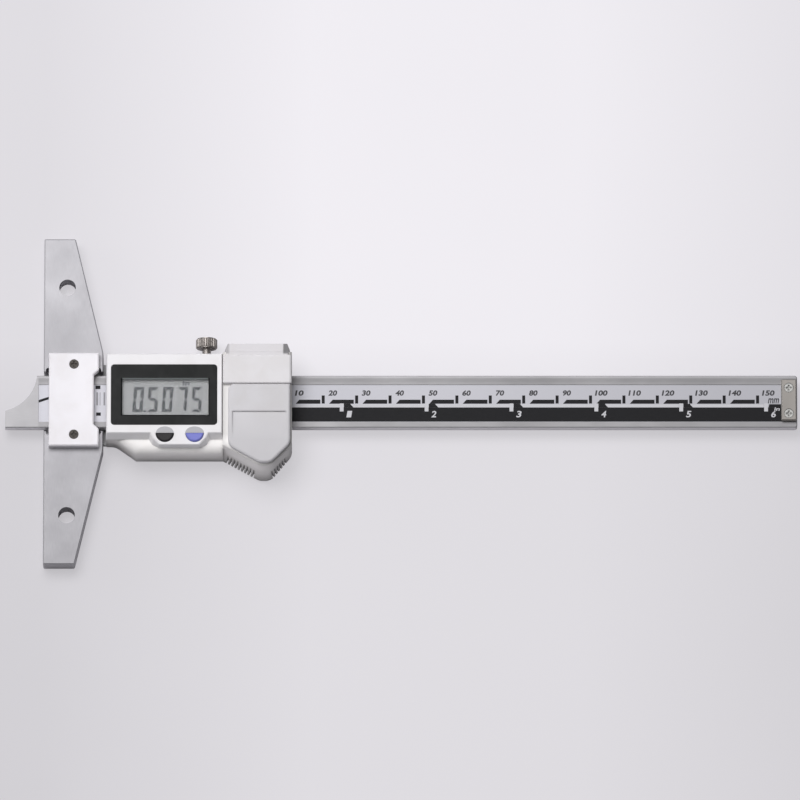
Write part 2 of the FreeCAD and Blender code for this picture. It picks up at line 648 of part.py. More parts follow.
def make_slider_frame():
    """The steel channel that guides the beam, with its tongue and its tapped holes."""
    body = new_body("slider_frame")
    section = sketch(body, "frame_section", "YZ_Plane", [[
        (f"-{FRAME_SOUTH}", "0"),
        (FRAME_NORTH, "0"),
        (FRAME_NORTH, FRAME_TOP),
        (CHANNEL_NORTH, FRAME_TOP),
        (CHANNEL_NORTH, "floor_thick"),
        (f"-{CHANNEL_SOUTH}", "floor_thick"),
        (f"-{CHANNEL_SOUTH}", FRAME_TOP),
        (f"-{FRAME_SOUTH}", FRAME_TOP),
    ]], at=("0", "0", HEAD_LEFT))
    channel = pad(body, "frame_channel", section, FRAME_LONG)
    bevel = chamfer(body, "frame_edges", channel,
                    lambda box: level_at(box, 0) and box.YLength < NEAR, "frame_chamfer")
    tongue = sketch(body, "frame_tongue_plan", "XY_Plane", [
        rectangle("base_back - tongue_long", "-tongue_half", f"{HEAD_LEFT} + overrun", "tongue_half"),
    ])
    pad(body, "frame_tongue", tongue, "tongue_thick")
    rear_holes(body, "frame_tongue_screw", TONGUE_SCREWS, "tongue_screw_long")
    cross = sketch(body, "frame_cross_holes", "XZ_Plane", circles=[
        (f"{HEAD_LEFT} + lock_from_frame", SCREW_LEVEL, "lock_shank + lock_clearance"),
        (SET_SCREWS[0], SCREW_LEVEL, "set_screw_radius + screw_clearance"),
        (SET_SCREWS[1], SCREW_LEVEL, "set_screw_radius + screw_clearance"),
    ], at=("0", "0", f"-({FRAME_NORTH} + overrun)"))
    pocket(body, "frame_cross_drilled", cross, "wall_north + 2 * overrun", upward=True)
    rear_holes(body, "frame_unit_screw", UNIT_SCREWS, f"{FRAME_TOP} + overrun")
    return body


def make_gib():
    """The strip that the lock screw presses against the beam's edge."""
    body = new_body("gib")
    plan = sketch(body, "gib_plan", "XY_Plane", [
        rectangle(f"{HEAD_LEFT} + gib_from_frame", GIB_SOUTH,
                  f"{HEAD_LEFT} + {FRAME_LONG} - gib_from_frame", f"{GIB_SOUTH} + gib_thick"),
    ], at=("0", "0", "floor_thick + gib_lift"))
    strip = pad(body, "gib_strip", plan, "gib_tall")
    chamfer(body, "gib_edges", strip, lambda box: box.XLength > amount("gib_thick"), "gib_chamfer")
    return body


def make_set_screws():
    """Two headless screws that set the gib's play."""
    body = new_body("gib_set_screws")
    tip = f"({CHANNEL_NORTH} - gib_gap + gib_play)"
    for number, place in enumerate(SET_SCREWS, 1):
        centre = (place, SCREW_LEVEL)
        shank = sketch(body, f"set_screw_shank{number}", "XZ_Plane",
                       circles=[("0", "0", "set_screw_radius")], at=(*centre, f"-({tip})"))
        pad(body, f"set_screw{number}", shank, "set_screw_long", reverse=True)
        socket = sketch(body, f"set_screw_socket{number}", "XZ_Plane",
                        [polygon(SOCKET_SIDES, "set_screw_socket")],
                        at=(*centre, f"-({tip} + set_screw_long + overrun)"))
        pocket(body, f"set_screw_sunk{number}", socket, "set_screw_socket_deep + overrun", upward=True)
    return body


def make_lock_screw():
    """The knurled thumb screw on the head's north side."""
    body = new_body("lock_screw")
    tip = f"({CHANNEL_NORTH} - gib_gap + gib_play)"
    neck = f"({FRAME_NORTH} + lock_neck_gap)"
    knob = f"({neck} + lock_neck_long)"
    top = f"({knob} + lock_knob_long)"
    centre = (f"{HEAD_LEFT} + lock_from_frame", "0", SCREW_LEVEL)
    section = sketch(body, "lock_section", "XY_Plane", [[
        ("0", tip),
        ("lock_shank", tip),
        ("lock_shank", neck),
        ("lock_neck", neck),
        ("lock_neck", knob),
        ("lock_knob - lock_knob_step", knob),
        ("lock_knob - lock_knob_step", f"{knob} + lock_knob_step"),
        ("lock_knob", f"{knob} + lock_knob_step"),
        ("lock_knob", f"{top} - lock_knob_step"),
        ("lock_knob - lock_knob_step", f"{top} - lock_knob_step"),
        ("lock_knob - lock_knob_step", top),
        ("0", top),
    ]], at=centre)
    revolve(body, "lock_turned", section)
    ridge = sketch(body, "lock_knurl_plan", "XZ_Plane", [[
        ("lock_knob - knurl_deep", "0"),
        ("lock_knob + knurl_deep", "-knurl_wide"),
        ("lock_knob + knurl_deep", "knurl_wide"),
    ]], at=(centre[0], centre[2], f"-({top} + overrun)"))
    cut = pocket(body, "lock_knurl", ridge, "lock_knob_long + overrun", upward=True)
    pattern = body.newObject("PartDesign::PolarPattern", "lock_knurls")
    pattern.Originals = [cut]
    pattern.Axis = (ridge, ["N_Axis"])
    pattern.Angle = 360
    pattern.Occurrences = KNURL_COUNT
    body.Tip = pattern
    doc.recompute()
    return body


def make_beam():
    """The sliding beam: hollow-edged foot, two rails and the recess for the scale."""
    body = new_body("beam")
    plan = sketch(body, "beam_plan", "XY_Plane", [[
        (BEAM_TIP, f"-{BEAM_HALF}"),
        (BEAM_END, f"-{BEAM_HALF}"),
        (BEAM_END, BEAM_HALF),
        (f"{BEAM_TIP} + foot_long", BEAM_HALF, "foot_curve", -1),
        (BEAM_TIP, f"-{BEAM_HALF} + foot_tall"),
    ]], at=("0", "0", BEAM_BACK))
    bar = pad(body, "beam_bar", plan, "beam_thick")
    end = amount(BEAM_END)
    rounded = fillet(body, "beam_corners", bar, lambda box: upright(box) and box.XMin > end - NEAR,
                     "beam_end_round")
    half = amount("beam_wide") / 2
    chamfer(body, "beam_edges", rounded,
            lambda box: box.XLength > half and abs(abs(box.Center.y) - half) < NEAR, "beam_chamfer")
    recess = sketch(body, "beam_recess_plan", "XY_Plane", [
        rectangle(f"{BEAM_TIP} + scale_from_tip", f"-{BEAM_HALF} + rail_south",
                  f"{BEAM_END} + overrun", f"{BEAM_HALF} - rail_north"),
    ], at=("0", "0", f"{BEAM_FRONT} + overrun"))
    pocket(body, "beam_recess", recess, "scale_deep + overrun")
    tapped(body, "beam_end", STOP_SCREWS, f"{BEAM_FRONT} + overrun",
           "overrun + stop_screw_long - stop_thick + screw_clearance")
    return body


def make_scale_strip():
    """The scale bonded in the beam's recess."""
    body = new_body("scale_strip")
    plan = sketch(body, "scale_plan", "XY_Plane", [
        rectangle(f"{BEAM_TIP} + scale_from_tip + scale_clearance",
                  f"-{BEAM_HALF} + rail_south + scale_clearance",
                  f"{BEAM_END} - scale_clearance", f"{BEAM_HALF} - rail_north - scale_clearance"),
    ], at=("0", "0", f"{BEAM_FRONT} - scale_deep"))
    pad(body, "scale_slab", plan, "scale_thick")
    side = "(screw_radius + 2 * screw_clearance)"
    holes = sketch(body, "scale_hole_plan", "XY_Plane", [
        rectangle(f"{x} - {side}", f"{y} - {side}", f"{x} + {side}", f"{y} + {side}") for x, y in STOP_SCREWS
    ], at=("0", "0", f"{BEAM_FRONT} + overrun"))
    pocket(body, "scale_holes", holes, "scale_deep + 2 * overrun")
    return body


def make_end_stop():
    """The plate that keeps the beam from leaving the head."""
    body = new_body("end_stop_plate")
    right = f"({BEAM_END} - stop_from_end)"
    plan = sketch(body, "stop_plan", "XY_Plane", [
        rectangle(f"{right} - stop_wide", "-stop_south", right, "stop_north"),
    ], at=("0", "0", BEAM_FRONT))
    slab = pad(body, "stop_slab", plan, "stop_thick")
    bottom = amount(BEAM_FRONT)
    chamfer(body, "stop_edges", slab, lambda box: not level_at(box, bottom), "stop_chamfer")
    head_holes(body, "stop_screw", STOP_SCREWS, f"({BEAM_FRONT} + stop_thick - screw_sink)",
               "stop_screw_long")
    return body


def block_plan(body, name, level, slope_left, slope_tip, slope_right):
    """The battery block in plan at one level, its south side drawn in by the slopes."""
    return sketch(body, name, "XY_Plane", [[
        (SEAM, HOUSING_NORTH),
        (SEAM, f"-(skirt_reach - {slope_left})"),
        (THUMB_LEFT, f"-(thumb_reach - {slope_tip})"),
        (THUMB_RIGHT, f"-(thumb_reach - {slope_tip})"),
        (HEAD_RIGHT, f"-(thumb_right - {slope_right})"),
        (HEAD_RIGHT, HOUSING_NORTH),
    ]], at=("0", "0", level))


def make_housing():
    """The moulded housing: display deck, battery block with its thumb rest, and the skirt."""
    body = new_body("housing")
    deck = sketch(body, "deck_plan", "XY_Plane", [[
        (HEAD_LEFT, HOUSING_NORTH),
        (HEAD_LEFT, "-flare_start"),
        (f"{HEAD_LEFT} + flare_from", "-flare_start"),
        (f"{HEAD_LEFT} + flare_from + flare_long", "-skirt_reach"),
        (SEAM, "-skirt_reach"),
        (SEAM, HOUSING_NORTH),
    ]], at=("0", "0", "skirt_lift"))
    slab = pad(body, "deck_slab", deck, f"{DECK} - skirt_lift")
    flare_x = amount(f"{HEAD_LEFT} + flare_from")
    flared = fillet(body, "deck_flare", slab, lambda box: upright(box) and abs(box.XMin - flare_x) < NEAR,
                    "flare_round")
    deck_level = amount(DECK)
    south = -amount("flare_start")
    fillet(body, "deck_shoulder", flared,
           lambda box: level_at(box, deck_level) and box.YMax < south + NEAR, "skirt_round")
    low = block_plan(body, "block_foot", "skirt_lift", "0", "0", "0")
    high = block_plan(body, "block_head", BLOCK_TOP, "thumb_run_left", "thumb_run", "thumb_run_right")
    block = loft(body, "block_solid", low, [high])
    corner = amount(f"-(thumb_right - thumb_run_right)")
    fillet(body, "block_corners", block,
           lambda box: box.ZLength > amount("block_rise") + NEAR and box.YMax < corner + NEAR
           and box.XMin > amount(SEAM) + NEAR and box.XLength < amount("thumb_run"), "block_round")
    channel = sketch(body, "frame_room_section", "YZ_Plane", [
        rectangle(f"-({FRAME_SOUTH} + skirt_gap)", "0", f"{HOUSING_NORTH} + overrun", FRAME_TOP),
    ], at=("0", "0", f"{HEAD_LEFT} - overrun"))
    pocket(body, "frame_room", channel, f"{HEAD_LONG} + 2 * overrun", upward=True)
    make_housing_rooms(body)
    make_grip(body)
    return body


def make_housing_rooms(body):
    """The rooms inside the housing for the boards, the keypad, the cell and the socket."""
    inner_south = "(flare_start - shell_wall)"
    inner_north = f"({HOUSING_NORTH} - shell_wall)"
    left = f"({HEAD_LEFT} + shell_wall)"
    right = f"({SEAM} + board_into_block)"
    reader = sketch(body, "reader_room_plan", "XY_Plane", [
        rectangle(f"{HEAD_LEFT} + reader_end - board_margin",
                  f"-({CHANNEL_SOUTH} + reader_lap + board_margin)",
                  f"{HEAD_RIGHT} - reader_end + board_margin",
                  f"{CHANNEL_NORTH} + reader_lap + board_margin"),
    ], at=("0", "0", f"{FRAME_TOP} - overrun"))
    pocket(body, "reader_room", reader, "reader_thick + board_margin + overrun", upward=True)
    through = sketch(body, "middle_room_plan", "XY_Plane", [
        rectangle(f"{left} + ledge_wide", f"-{inner_south} + ledge_wide", f"{right} - ledge_wide",
                  f"{inner_north} - ledge_wide"),
    ], at=("0", "0", f"{DECK} + overrun"))
    pocket(body, "middle_room", through, f"{DECK} + overrun - {FRAME_TOP} - reader_thick")
    upper = sketch(body, "board_room_plan", "XY_Plane", [
        rectangle(left, f"-{inner_south}", right, inner_north),
    ], at=("0", "0", BOARD_SEAT))
    pocket(body, "board_room", upper, f"{DECK} - {BOARD_SEAT} - roof_thick", upward=True)
    mouth = sketch(body, "deck_mouth_plan", "XY_Plane", [
        rectangle(left, f"-{inner_south}", f"{SEAM} - shell_wall", inner_north),
    ], at=("0", "0", f"{DECK} + overrun"))
    pocket(body, "deck_mouth", mouth, f"{DECK} + overrun - {BOARD_SEAT}")
    reach = "(button_radius + button_flange + button_gap)"
    keys = sketch(body, "key_room_plan", "XY_Plane", [
        rectangle(f"{BUTTONS[0]} - {reach}", f"-(button_flat + {reach})", f"{BUTTONS[1]} + {reach}",
                  f"-{inner_south} + overrun"),
    ], at=("0", "0", f"{DECK} + overrun"))
    pocket(body, "key_room", keys, f"overrun + {KEY_DEPTH}")
    cell = sketch(body, "cell_room_plan", "XY_Plane", circles=[
        (CELL_X, "-battery_south", "battery_radius + battery_gap"),
    ], at=("0", "0", f"{BLOCK_TOP} + overrun"))
    pocket(body, "cell_room", cell, f"overrun + {CELL_DEPTH}")
    seal = sketch(body, "cell_seal_plan", "XY_Plane", circles=[
        (CELL_X, "-battery_south", "battery_radius + battery_gap + seal_wide + 2 * seal_gap"),
    ], at=("0", "0", f"{BLOCK_TOP} + overrun"))
    pocket(body, "cell_seal_seat", seal, "seal_deep + overrun")
    socket = sketch(body, "port_room_plan", "XY_Plane", [
        rectangle(f"{PORT_LEFT} - port_gap", "port_south - port_gap", f"{PORT_LEFT} + port_long + port_gap",
                  "port_south + port_wide + port_gap"),
    ], at=("0", "0", f"{BLOCK_TOP} + overrun"))
    pocket(body, "port_room", socket, "port_tall + port_seal_deep + overrun")
    tapped(body, "housing_rear", UNIT_SCREWS, "0", "screw_sink + unit_screw_long + screw_clearance",
           upward=True)


def make_grip(body):
    """Upright grip grooves along both slanted sides of the thumb rest."""
    sides = [
        ("near", (SEAM, "-skirt_reach"), (THUMB_LEFT, "-thumb_reach")),
        ("far", (THUMB_RIGHT, "-thumb_reach"), (HEAD_RIGHT, "-thumb_right")),
    ]
    for name, start, finish in sides:
        run = amount(f"{finish[0]} - {start[0]}")
        rise = amount(f"{finish[1]} - ({start[1]})")
        length = math.hypot(run, rise)
        count = int((length - 2 * amount("rib_spacing")) / amount("rib_spacing"))
        view = sketch(body, f"grip_{name}_plan", "XY_Plane", [
            rectangle("rib_spacing", "-rib_deep", "rib_spacing + rib_groove", "rib_deep"),
        ], at=(start[0], start[1], "skirt_lift - overrun"))
        view.AttachmentOffset = FreeCAD.Placement(
            view.AttachmentOffset.Base,
            FreeCAD.Rotation(FreeCAD.Vector(0, 0, 1), math.degrees(math.atan2(rise, run))))
        cut = pocket(body, f"grip_{name}", view, "rib_tall + overrun", upward=True)
        row = body.newObject("PartDesign::LinearPattern", f"grip_{name}_row")
        row.Originals = [cut]
        row.Direction = (view, ["H_Axis"])
        row.Length = (count - 1) * amount("rib_spacing")
        row.Occurrences = count
        body.Tip = row
        doc.recompute()


def cover_plan(body, name, level, end, north, south, island):
    """The display cover in plan at one level, drawn in by its slopes, with the button island."""
    left = f"({HEAD_LEFT} + {end})"
    right = f"({SEAM} - {end})"
    edge = f"-(cover_south - {south})"
    start = f"({ISLAND_LEFT} + {island})"
    finish = f"({ISLAND_RIGHT} - {island})"
    reach = f"-(cover_south + island_reach - {island})"
    side = f"-(cover_south + island_flank_reach - {south})"
    return sketch(body, name, "XY_Plane", [[
        (left, f"{HOUSING_NORTH} - {north}"),
        (left, edge),
        (start, edge),
        (f"{start} + island_flank", side),
        (f"{start} + island_corner", reach),
        (f"{finish} - island_corner", reach),
        (f"{finish} - island_flank", side),
        (finish, edge),
        (right, edge),
        (right, f"{HOUSING_NORTH} - {north}"),
    ]], at=("0", "0", level))


def half_disc(centre, margin=None):
    """A button in plan, flat side north, its round side two quarter arcs, or that a margin larger."""
    radius = f"(button_radius + {margin})" if margin else "button_radius"
    outline = [
        (f"{centre} - {radius}", "-button_flat", radius, 1),
        (centre, f"-(button_flat + {radius})", radius, 1),
        (f"{centre} + {radius}", "-button_flat"),
    ]
    if margin:
        outline.append((f"{centre} + {radius}", f"-(button_flat - {margin})"))
        outline.append((f"{centre} - {radius}", f"-(button_flat - {margin})"))
    return outline


def make_front_cover():
    """The display cover, with the bezel's seat and the button holes."""
    body = new_body("front_cover")
    low = cover_plan(body, "cover_foot", DECK, "0", "0", "0", "0")
    slopes = ("cover_run_end", "cover_run_north", "cover_run_south", "island_run")
    shoulder = cover_plan(body, "cover_shoulder", f"({FACE} - cover_bevel)", *slopes)
    high = cover_plan(body, "cover_head", FACE, *(f"({slope} + cover_bevel)" for slope in slopes))
    loft(body, "cover_solid", low, [shoulder, high])
    seat = sketch(body, "bezel_seat_plan", "XY_Plane", [
        rectangle(f"{BEZEL_LEFT} - bezel_gap", "-bezel_half - bezel_gap",
                  f"{BEZEL_RIGHT} + bezel_gap", "bezel_half + bezel_gap"),
    ], at=("0", "0", f"{FACE} + overrun"))
    cut = pocket(body, "bezel_seat", seat, "bezel_thick + overrun")
    edge = amount(f"{BEZEL_RIGHT} + bezel_gap")
    first = amount(f"{BEZEL_LEFT} - bezel_gap")
    half = amount("bezel_half + bezel_gap")
    fillet(body, "bezel_seat_corners", cut,
           lambda box: upright(box) and abs(abs(box.YMin) - half) < NEAR
           and min(abs(box.XMin - edge), abs(box.XMin - first)) < NEAR, "bezel_round + bezel_gap")
    opening = sketch(body, "cover_opening_plan", "XY_Plane", [
        rectangle(f"{BEZEL_LEFT} + bezel_lip", "-bezel_half + bezel_lip",
                  f"{BEZEL_RIGHT} - bezel_lip", "bezel_half - bezel_lip"),
    ], at=("0", "0", f"{FACE} + overrun"))
    pocket(body, "cover_opening", opening, "cover_tall + 2 * overrun")
    for number, centre in enumerate(BUTTONS, 1):
        hole = sketch(body, f"button_hole_plan{number}", "XY_Plane", [
            half_disc(centre, "button_gap"),
        ], at=("0", "0", f"{FACE} + overrun"))
        pocket(body, f"button_hole{number}", hole, "cover_tall + 2 * overrun")
        room = sketch(body, f"flange_room_plan{number}", "XY_Plane", [
            half_disc(centre, "(button_gap + button_flange)"),
        ], at=("0", "0", f"{DECK} - overrun"))
        pocket(body, f"flange_room{number}", room, "overrun + button_flange_thick + 2 * button_flange_gap",
               upward=True)
    return body


def make_bezel():
    """The dark frame around the display, its opening sloped inward."""
    body = new_body("display_bezel")
    plan = sketch(body, "bezel_plan", "XY_Plane", [
        rectangle(BEZEL_LEFT, "-bezel_half", BEZEL_RIGHT, "bezel_half"),
    ], at=("0", "0", BEZEL_BACK))
    slab = pad(body, "bezel_slab", plan, "bezel_thick")
    fillet(body, "bezel_corners", slab, upright, "bezel_round")
    view = sketch(body, "bezel_view_plan", "XY_Plane", [
        rectangle(VIEW_LEFT, "-view_south", VIEW_RIGHT, "view_north"),
    ], at=("0", "0", f"{FACE} + overrun"))
    cut = pocket(body, "bezel_view", view, "bezel_thick + 2 * overrun")
    face = amount(FACE)
    half = amount("bezel_half")
    chamfer(body, "bezel_slope", cut,
            lambda box: level_at(box, face) and max(abs(box.YMin), abs(box.YMax)) < half - NEAR
            and box.XMin > amount(BEZEL_LEFT) + NEAR
            and box.XMax < amount(BEZEL_RIGHT) - NEAR, "view_chamfer")
    return body


def slab_piece(label, left, south, right, north, level, thick):
    """A plain rectangular piece such as a board, a panel or a window."""
    body = new_body(label)
    plan = sketch(body, f"{label}_plan", "XY_Plane", [rectangle(left, south, right, north)],
                  at=("0", "0", level))
    pad(body, f"{label}_slab", plan, thick)
    return body


def make_display():
    """Window, display panel and the two strips that join the panel to its board."""
    inset = "(bezel_lip + lcd_gap)"
    left = f"({BEZEL_LEFT} + {inset})"
    right = f"({BEZEL_RIGHT} - {inset})"
    half = f"(bezel_half - {inset})"
    slab_piece("lcd_window", left, f"-{half}", right, half, WINDOW_BACK, "window_thick")
    slab_piece("lcd_panel", left, f"-{half}", right, half, LCD_BACK, "lcd_thick")
    body = new_body("display_contacts")
    for name, south in (("north", f"({half} - contact_from_edge - contact_wide)"),
                        ("south", f"(-{half} + contact_from_edge)")):
        plan = sketch(body, f"contact_{name}_plan", "XY_Plane", [
            rectangle(f"{left} + contact_from_edge", south, f"{right} - contact_from_edge",
                      f"{south} + contact_wide"),
        ], at=("0", "0", f"{BOARD_SEAT} + board_thick"))
        pad(body, f"contact_{name}", plan, "contact_tall")


def make_boards():
    """The reading board over the scale and the main board above it."""
    inner_south = "(flare_start - shell_wall - board_margin)"
    inner_north = f"({HOUSING_NORTH} - shell_wall - board_margin)"
    slab_piece("sensor_board", f"{HEAD_LEFT} + reader_end", f"-({CHANNEL_SOUTH} + reader_lap)",
               f"{HEAD_RIGHT} - reader_end", f"{CHANNEL_NORTH} + reader_lap", FRAME_TOP, "reader_thick")
    slab_piece("main_board", f"{HEAD_LEFT} + shell_wall + board_margin", f"-{inner_south}",
               f"{SEAM} + board_into_block - board_margin", inner_north, BOARD_SEAT, "board_thick")


def make_button(label, centre):
    """A half-round key with a broken edge, a flange under the cover and a stem."""
    body = new_body(label)
    flange = sketch(body, f"{label}_flange_plan", "XY_Plane", [
        half_disc(centre, "button_flange"),
    ], at=("0", "0", f"{DECK} + button_flange_gap"))
    pad(body, f"{label}_flange", flange, "button_flange_thick")
    cap = sketch(body, f"{label}_cap_plan", "XY_Plane", [half_disc(centre)],
                 at=("0", "0", f"{DECK} + button_flange_gap"))
    key = pad(body, f"{label}_cap", cap, "cover_tall - button_flange_gap + button_rise")
    top = amount(f"{FACE} + button_rise")
    chamfer(body, f"{label}_edge", key, lambda box: level_at(box, top), "button_chamfer")
    stem = sketch(body, f"{label}_stem_plan", "XY_Plane", [
        rectangle("-button_stem_wide / 2", "-button_stem_wide / 2", "button_stem_wide / 2",
                  "button_stem_wide / 2"),
    ], at=(centre, "-button_flat - button_radius / 2", f"{DECK} - button_stem"))
    pad(body, f"{label}_stem", stem, "button_stem + button_flange_gap + button_flange_thick / 2")
    return body


def make_keypad():
    """The rubber mat under the buttons, with a dome below each."""
    body = new_body("keypad")
    reach = "(button_radius + button_flange)"
    base = f"({DECK} - {KEY_DEPTH})"
    plan = sketch(body, "keypad_plan", "XY_Plane", [
        rectangle(f"{BUTTONS[0]} - {reach}", f"-(button_flat + {reach})", f"{BUTTONS[1]} + {reach}",
                  "-button_flat"),
    ], at=("0", "0", base))
    pad(body, "keypad_mat", plan, "keypad_thick")
    domes = sketch(body, "keypad_dome_plan", "XY_Plane", [
        polygon(THREAD_SIDES, "key_dome_radius", centre, "-button_flat - button_radius / 2")
        for centre in BUTTONS
    ], at=("0", "0", base))
    pad(body, "keypad_domes", domes, "keypad_thick + key_dome_tall")
    return body


def make_battery_lid():
    """The battery lid on the block, its face stepped down and running out again for the thumb."""
    body = new_body("battery_cover")
    left = f"({SEAM} + lid_gap_left)"
    right = f"({HEAD_RIGHT} - lid_gap_right)"
    south = "(thumb_reach - thumb_run - lid_gap_south)"
    slant = "(thumb_reach - thumb_run - skirt_reach + thumb_run_left)"
    drop = f"(lid_gap_left * {slant} / (block_long - thumb_far - thumb_tip_long))"
    near = f"(skirt_reach - thumb_run_left - lid_gap_south + {drop})"
    far = "(thumb_right - thumb_run_right - lid_gap_south)"
    plan = sketch(body, "lid_plan", "XY_Plane", [[
        (left, "lid_split"),
        (left, f"-{near}"),
        (THUMB_LEFT, f"-{south}"),
        (THUMB_RIGHT, f"-{south}"),
        (right, f"-{far}"),
        (right, "lid_split"),
    ]], at=("0", "0", BLOCK_TOP))
    slab = pad(body, "lid_slab", plan, "lid_thick")
    first, split = amount(left), amount("lid_split")
    rounded = fillet(body, "lid_corners", slab, lambda box: upright(box) and box.YMax < 0, "lid_round")
    cut = chamfer(body, "lid_cut_corner", rounded,
                  lambda box: upright(box) and box.XMin < first + NEAR and box.YMin > split - NEAR, "lid_cut")
    face = amount(LID_FACE)
    chamfer(body, "lid_face_edges", cut, lambda box: level_at(box, face), "lid_chamfer")
    dish_left, dish_right = f"({left} + lid_dish_from_edge)", f"({right} - lid_dish_from_edge)"
    dish_south = f"({far} - lid_dish_from_edge)"
    dish = sketch(body, "lid_dish_section", "YZ_Plane", [[
        ("-lid_dish_north", f"{LID_FACE} - lid_dish"),
        ("-lid_dish_north", f"{LID_FACE} + overrun"),
        (f"-{dish_south}", f"{LID_FACE} + overrun"),
        (f"-{dish_south}", LID_FACE),
    ]], at=("0", "0", dish_left))
    pocket(body, "lid_dish", dish, f"{dish_right} - {dish_left}", upward=True)
    return body


def make_connector_cap():
    """The cap over the data socket, hooked over the head's north side."""
    body = new_body("connector_cap")
    lip_top = f"({LID_FACE} - cap_drop)"
    lip_foot = f"({lip_top} - cap_lip)"
    section = sketch(body, "cap_section", "YZ_Plane", [[
        ("lid_split + lid_line", BLOCK_TOP),
        (f"{HOUSING_NORTH} + cap_gap", BLOCK_TOP),
        (f"{HOUSING_NORTH} + cap_gap", f"{lip_foot} - cap_tuck"),
        ("cap_reach", lip_foot),
        ("cap_reach", lip_top),
        ("cap_ridge", LID_FACE),
        ("lid_split + lid_line", LID_FACE),
    ]], at=("0", "0", SEAM))
    bar = pad(body, "cap_bar", section, f"{HEAD_RIGHT} - {SEAM}")
    for name, end, way in (("near", SEAM, ""), ("far", HEAD_RIGHT, "-1 *")):
        corner = sketch(body, f"cap_{name}_plan", "XY_Plane", [[
            (f"{end} - {way} overrun", "cap_ridge"),
            (end, "cap_ridge"),
            (f"{end} + {way} cap_end_run", "cap_reach"),
            (f"{end} + {way} cap_end_run", "cap_reach + overrun"),
            (f"{end} - {way} overrun", "cap_reach + overrun"),
        ]], at=("0", "0", f"{LID_FACE} + overrun"))
        bar = pocket(body, f"cap_{name}_end", corner,
                     "lid_thick + cap_drop + cap_lip + cap_tuck + 2 * overrun")
    face = amount(LID_FACE)
    fillet(body, "cap_face_edges", bar, lambda box: level_at(box, face), "cap_round")
    for name, end, way in (("near", SEAM, ""), ("far", HEAD_RIGHT, "-1 *")):
        wedge = sketch(body, f"cap_{name}_section", "XZ_Plane", [[
            (f"{end} + {way} cap_bevel", LID_FACE),
            (end, lip_top),
            (f"{end} - {way} overrun", lip_top),
            (f"{end} - {way} overrun", f"{LID_FACE} + overrun"),
            (f"{end} + {way} cap_bevel", f"{LID_FACE} + overrun"),
        ]], at=("0", "0", "-cap_ridge"))
        pocket(body, f"cap_{name}_bevel", wedge, "cap_reach - cap_ridge + overrun")
    return body


def make_battery():
    """The button cell and the two bowed springs that touch it."""
    body = new_body("battery")
    top = f"({BLOCK_TOP} - battery_gap)"
    disc = sketch(body, "battery_plan", "XY_Plane", circles=[(CELL_X, "-battery_south", "battery_radius")],
                  at=("0", "0", f"{top} - battery_tall"))
    pad(body, "battery_disc", disc, "battery_tall")
    springs = new_body("battery_contacts")
    floor = f"({BLOCK_TOP} - {CELL_DEPTH})"
    middle = "(spring_long / 4)"
    bow = sketch(springs, "spring_section", "XZ_Plane", [[
        (f"{CELL_X} - spring_long / 2", floor),
        (f"{CELL_X} - {middle}", f"{floor} + spring_rise"),
        (f"{CELL_X} + {middle}", f"{floor} + spring_rise"),
        (f"{CELL_X} + spring_long / 2", floor),
        (f"{CELL_X} + spring_long / 2", f"{floor} + spring_thick"),
        (f"{CELL_X} + {middle}", f"{floor} + spring_rise + spring_thick"),
        (f"{CELL_X} - {middle}", f"{floor} + spring_rise + spring_thick"),
        (f"{CELL_X} - spring_long / 2", f"{floor} + spring_thick"),
    ]], at=("0", "0", "battery_south - spring_wide / 2"))
    pad(springs, "spring_low", bow, "spring_wide")
    side = sketch(springs, "spring_side_plan", "XY_Plane", [
        rectangle(f"{CELL_X} - battery_radius - battery_gap + screw_clearance",
                  "-battery_south - side_spring_wide / 2",
                  f"{CELL_X} - battery_radius - screw_clearance", "-battery_south + side_spring_wide / 2"),
    ], at=("0", "0", f"{floor} + battery_tall / 2"))
    pad(springs, "spring_side", side, "spring_wide")


def make_battery_seal():
    """The rubber ring let into the mouth of the battery well."""
    ring = new_body("battery_seal")
    inner = "(battery_radius + battery_gap + seal_gap)"
    plan = sketch(ring, "seal_plan", "XY_Plane", [
        polygon(RING_SIDES, f"{inner} + seal_wide", CELL_X, "-battery_south"),
        polygon(RING_SIDES, inner, CELL_X, "-battery_south"),
    ], at=("0", "0", f"{BLOCK_TOP} - seal_deep"))
    pad(ring, "seal_ring", plan, "seal_deep")


def make_socket():
    """The data socket under the connector cap, with its row of pins."""
    body = new_body("data_socket")
    left = PORT_LEFT
    right = f"({PORT_LEFT} + port_long)"
    south, north = "port_south", "(port_south + port_wide)"
    base = f"({BLOCK_TOP} - port_tall - port_seal_deep)"
    plan = sketch(body, "socket_plan", "XY_Plane", [rectangle(left, south, right, north)],
                  at=("0", "0", base))
    pad(body, "socket_block", plan, "port_tall")
    mouth = sketch(body, "socket_mouth_plan", "XY_Plane", [
        rectangle(f"{left} + port_wall", f"{south} + port_wall", f"{right} - port_wall",
                  f"{north} - port_wall"),
    ], at=("0", "0", f"{base} + port_tall + overrun"))
    pocket(body, "socket_mouth", mouth, "port_tall + overrun - port_wall")
    row = [f"{number - PIN_COUNT // 2} * port_pin_spacing" for number in range(PIN_COUNT)]
    pins = sketch(body, "socket_pin_plan", "XY_Plane", [
        rectangle(f"{place} - port_pin / 2", "-port_pin / 2", f"{place} + port_pin / 2", "port_pin / 2")
        for place in row
    ], at=(f"({left} + {right}) / 2", "port_south + port_wide / 2", f"{base} + port_wall / 2"))
    pad(body, "socket_pins", pins, "port_tall - port_wall")
    seal = new_body("socket_seal")
    ring = sketch(seal, "socket_seal_plan", "XY_Plane", [
        rectangle(left, south, right, north),
        rectangle(f"{left} + port_seal", f"{south} + port_seal", f"{right} - port_seal",
                  f"{north} - port_seal"),
    ], at=("0", "0", f"{base} + port_tall"))
    pad(seal, "socket_seal_ring", ring, "port_seal_deep")
    return body


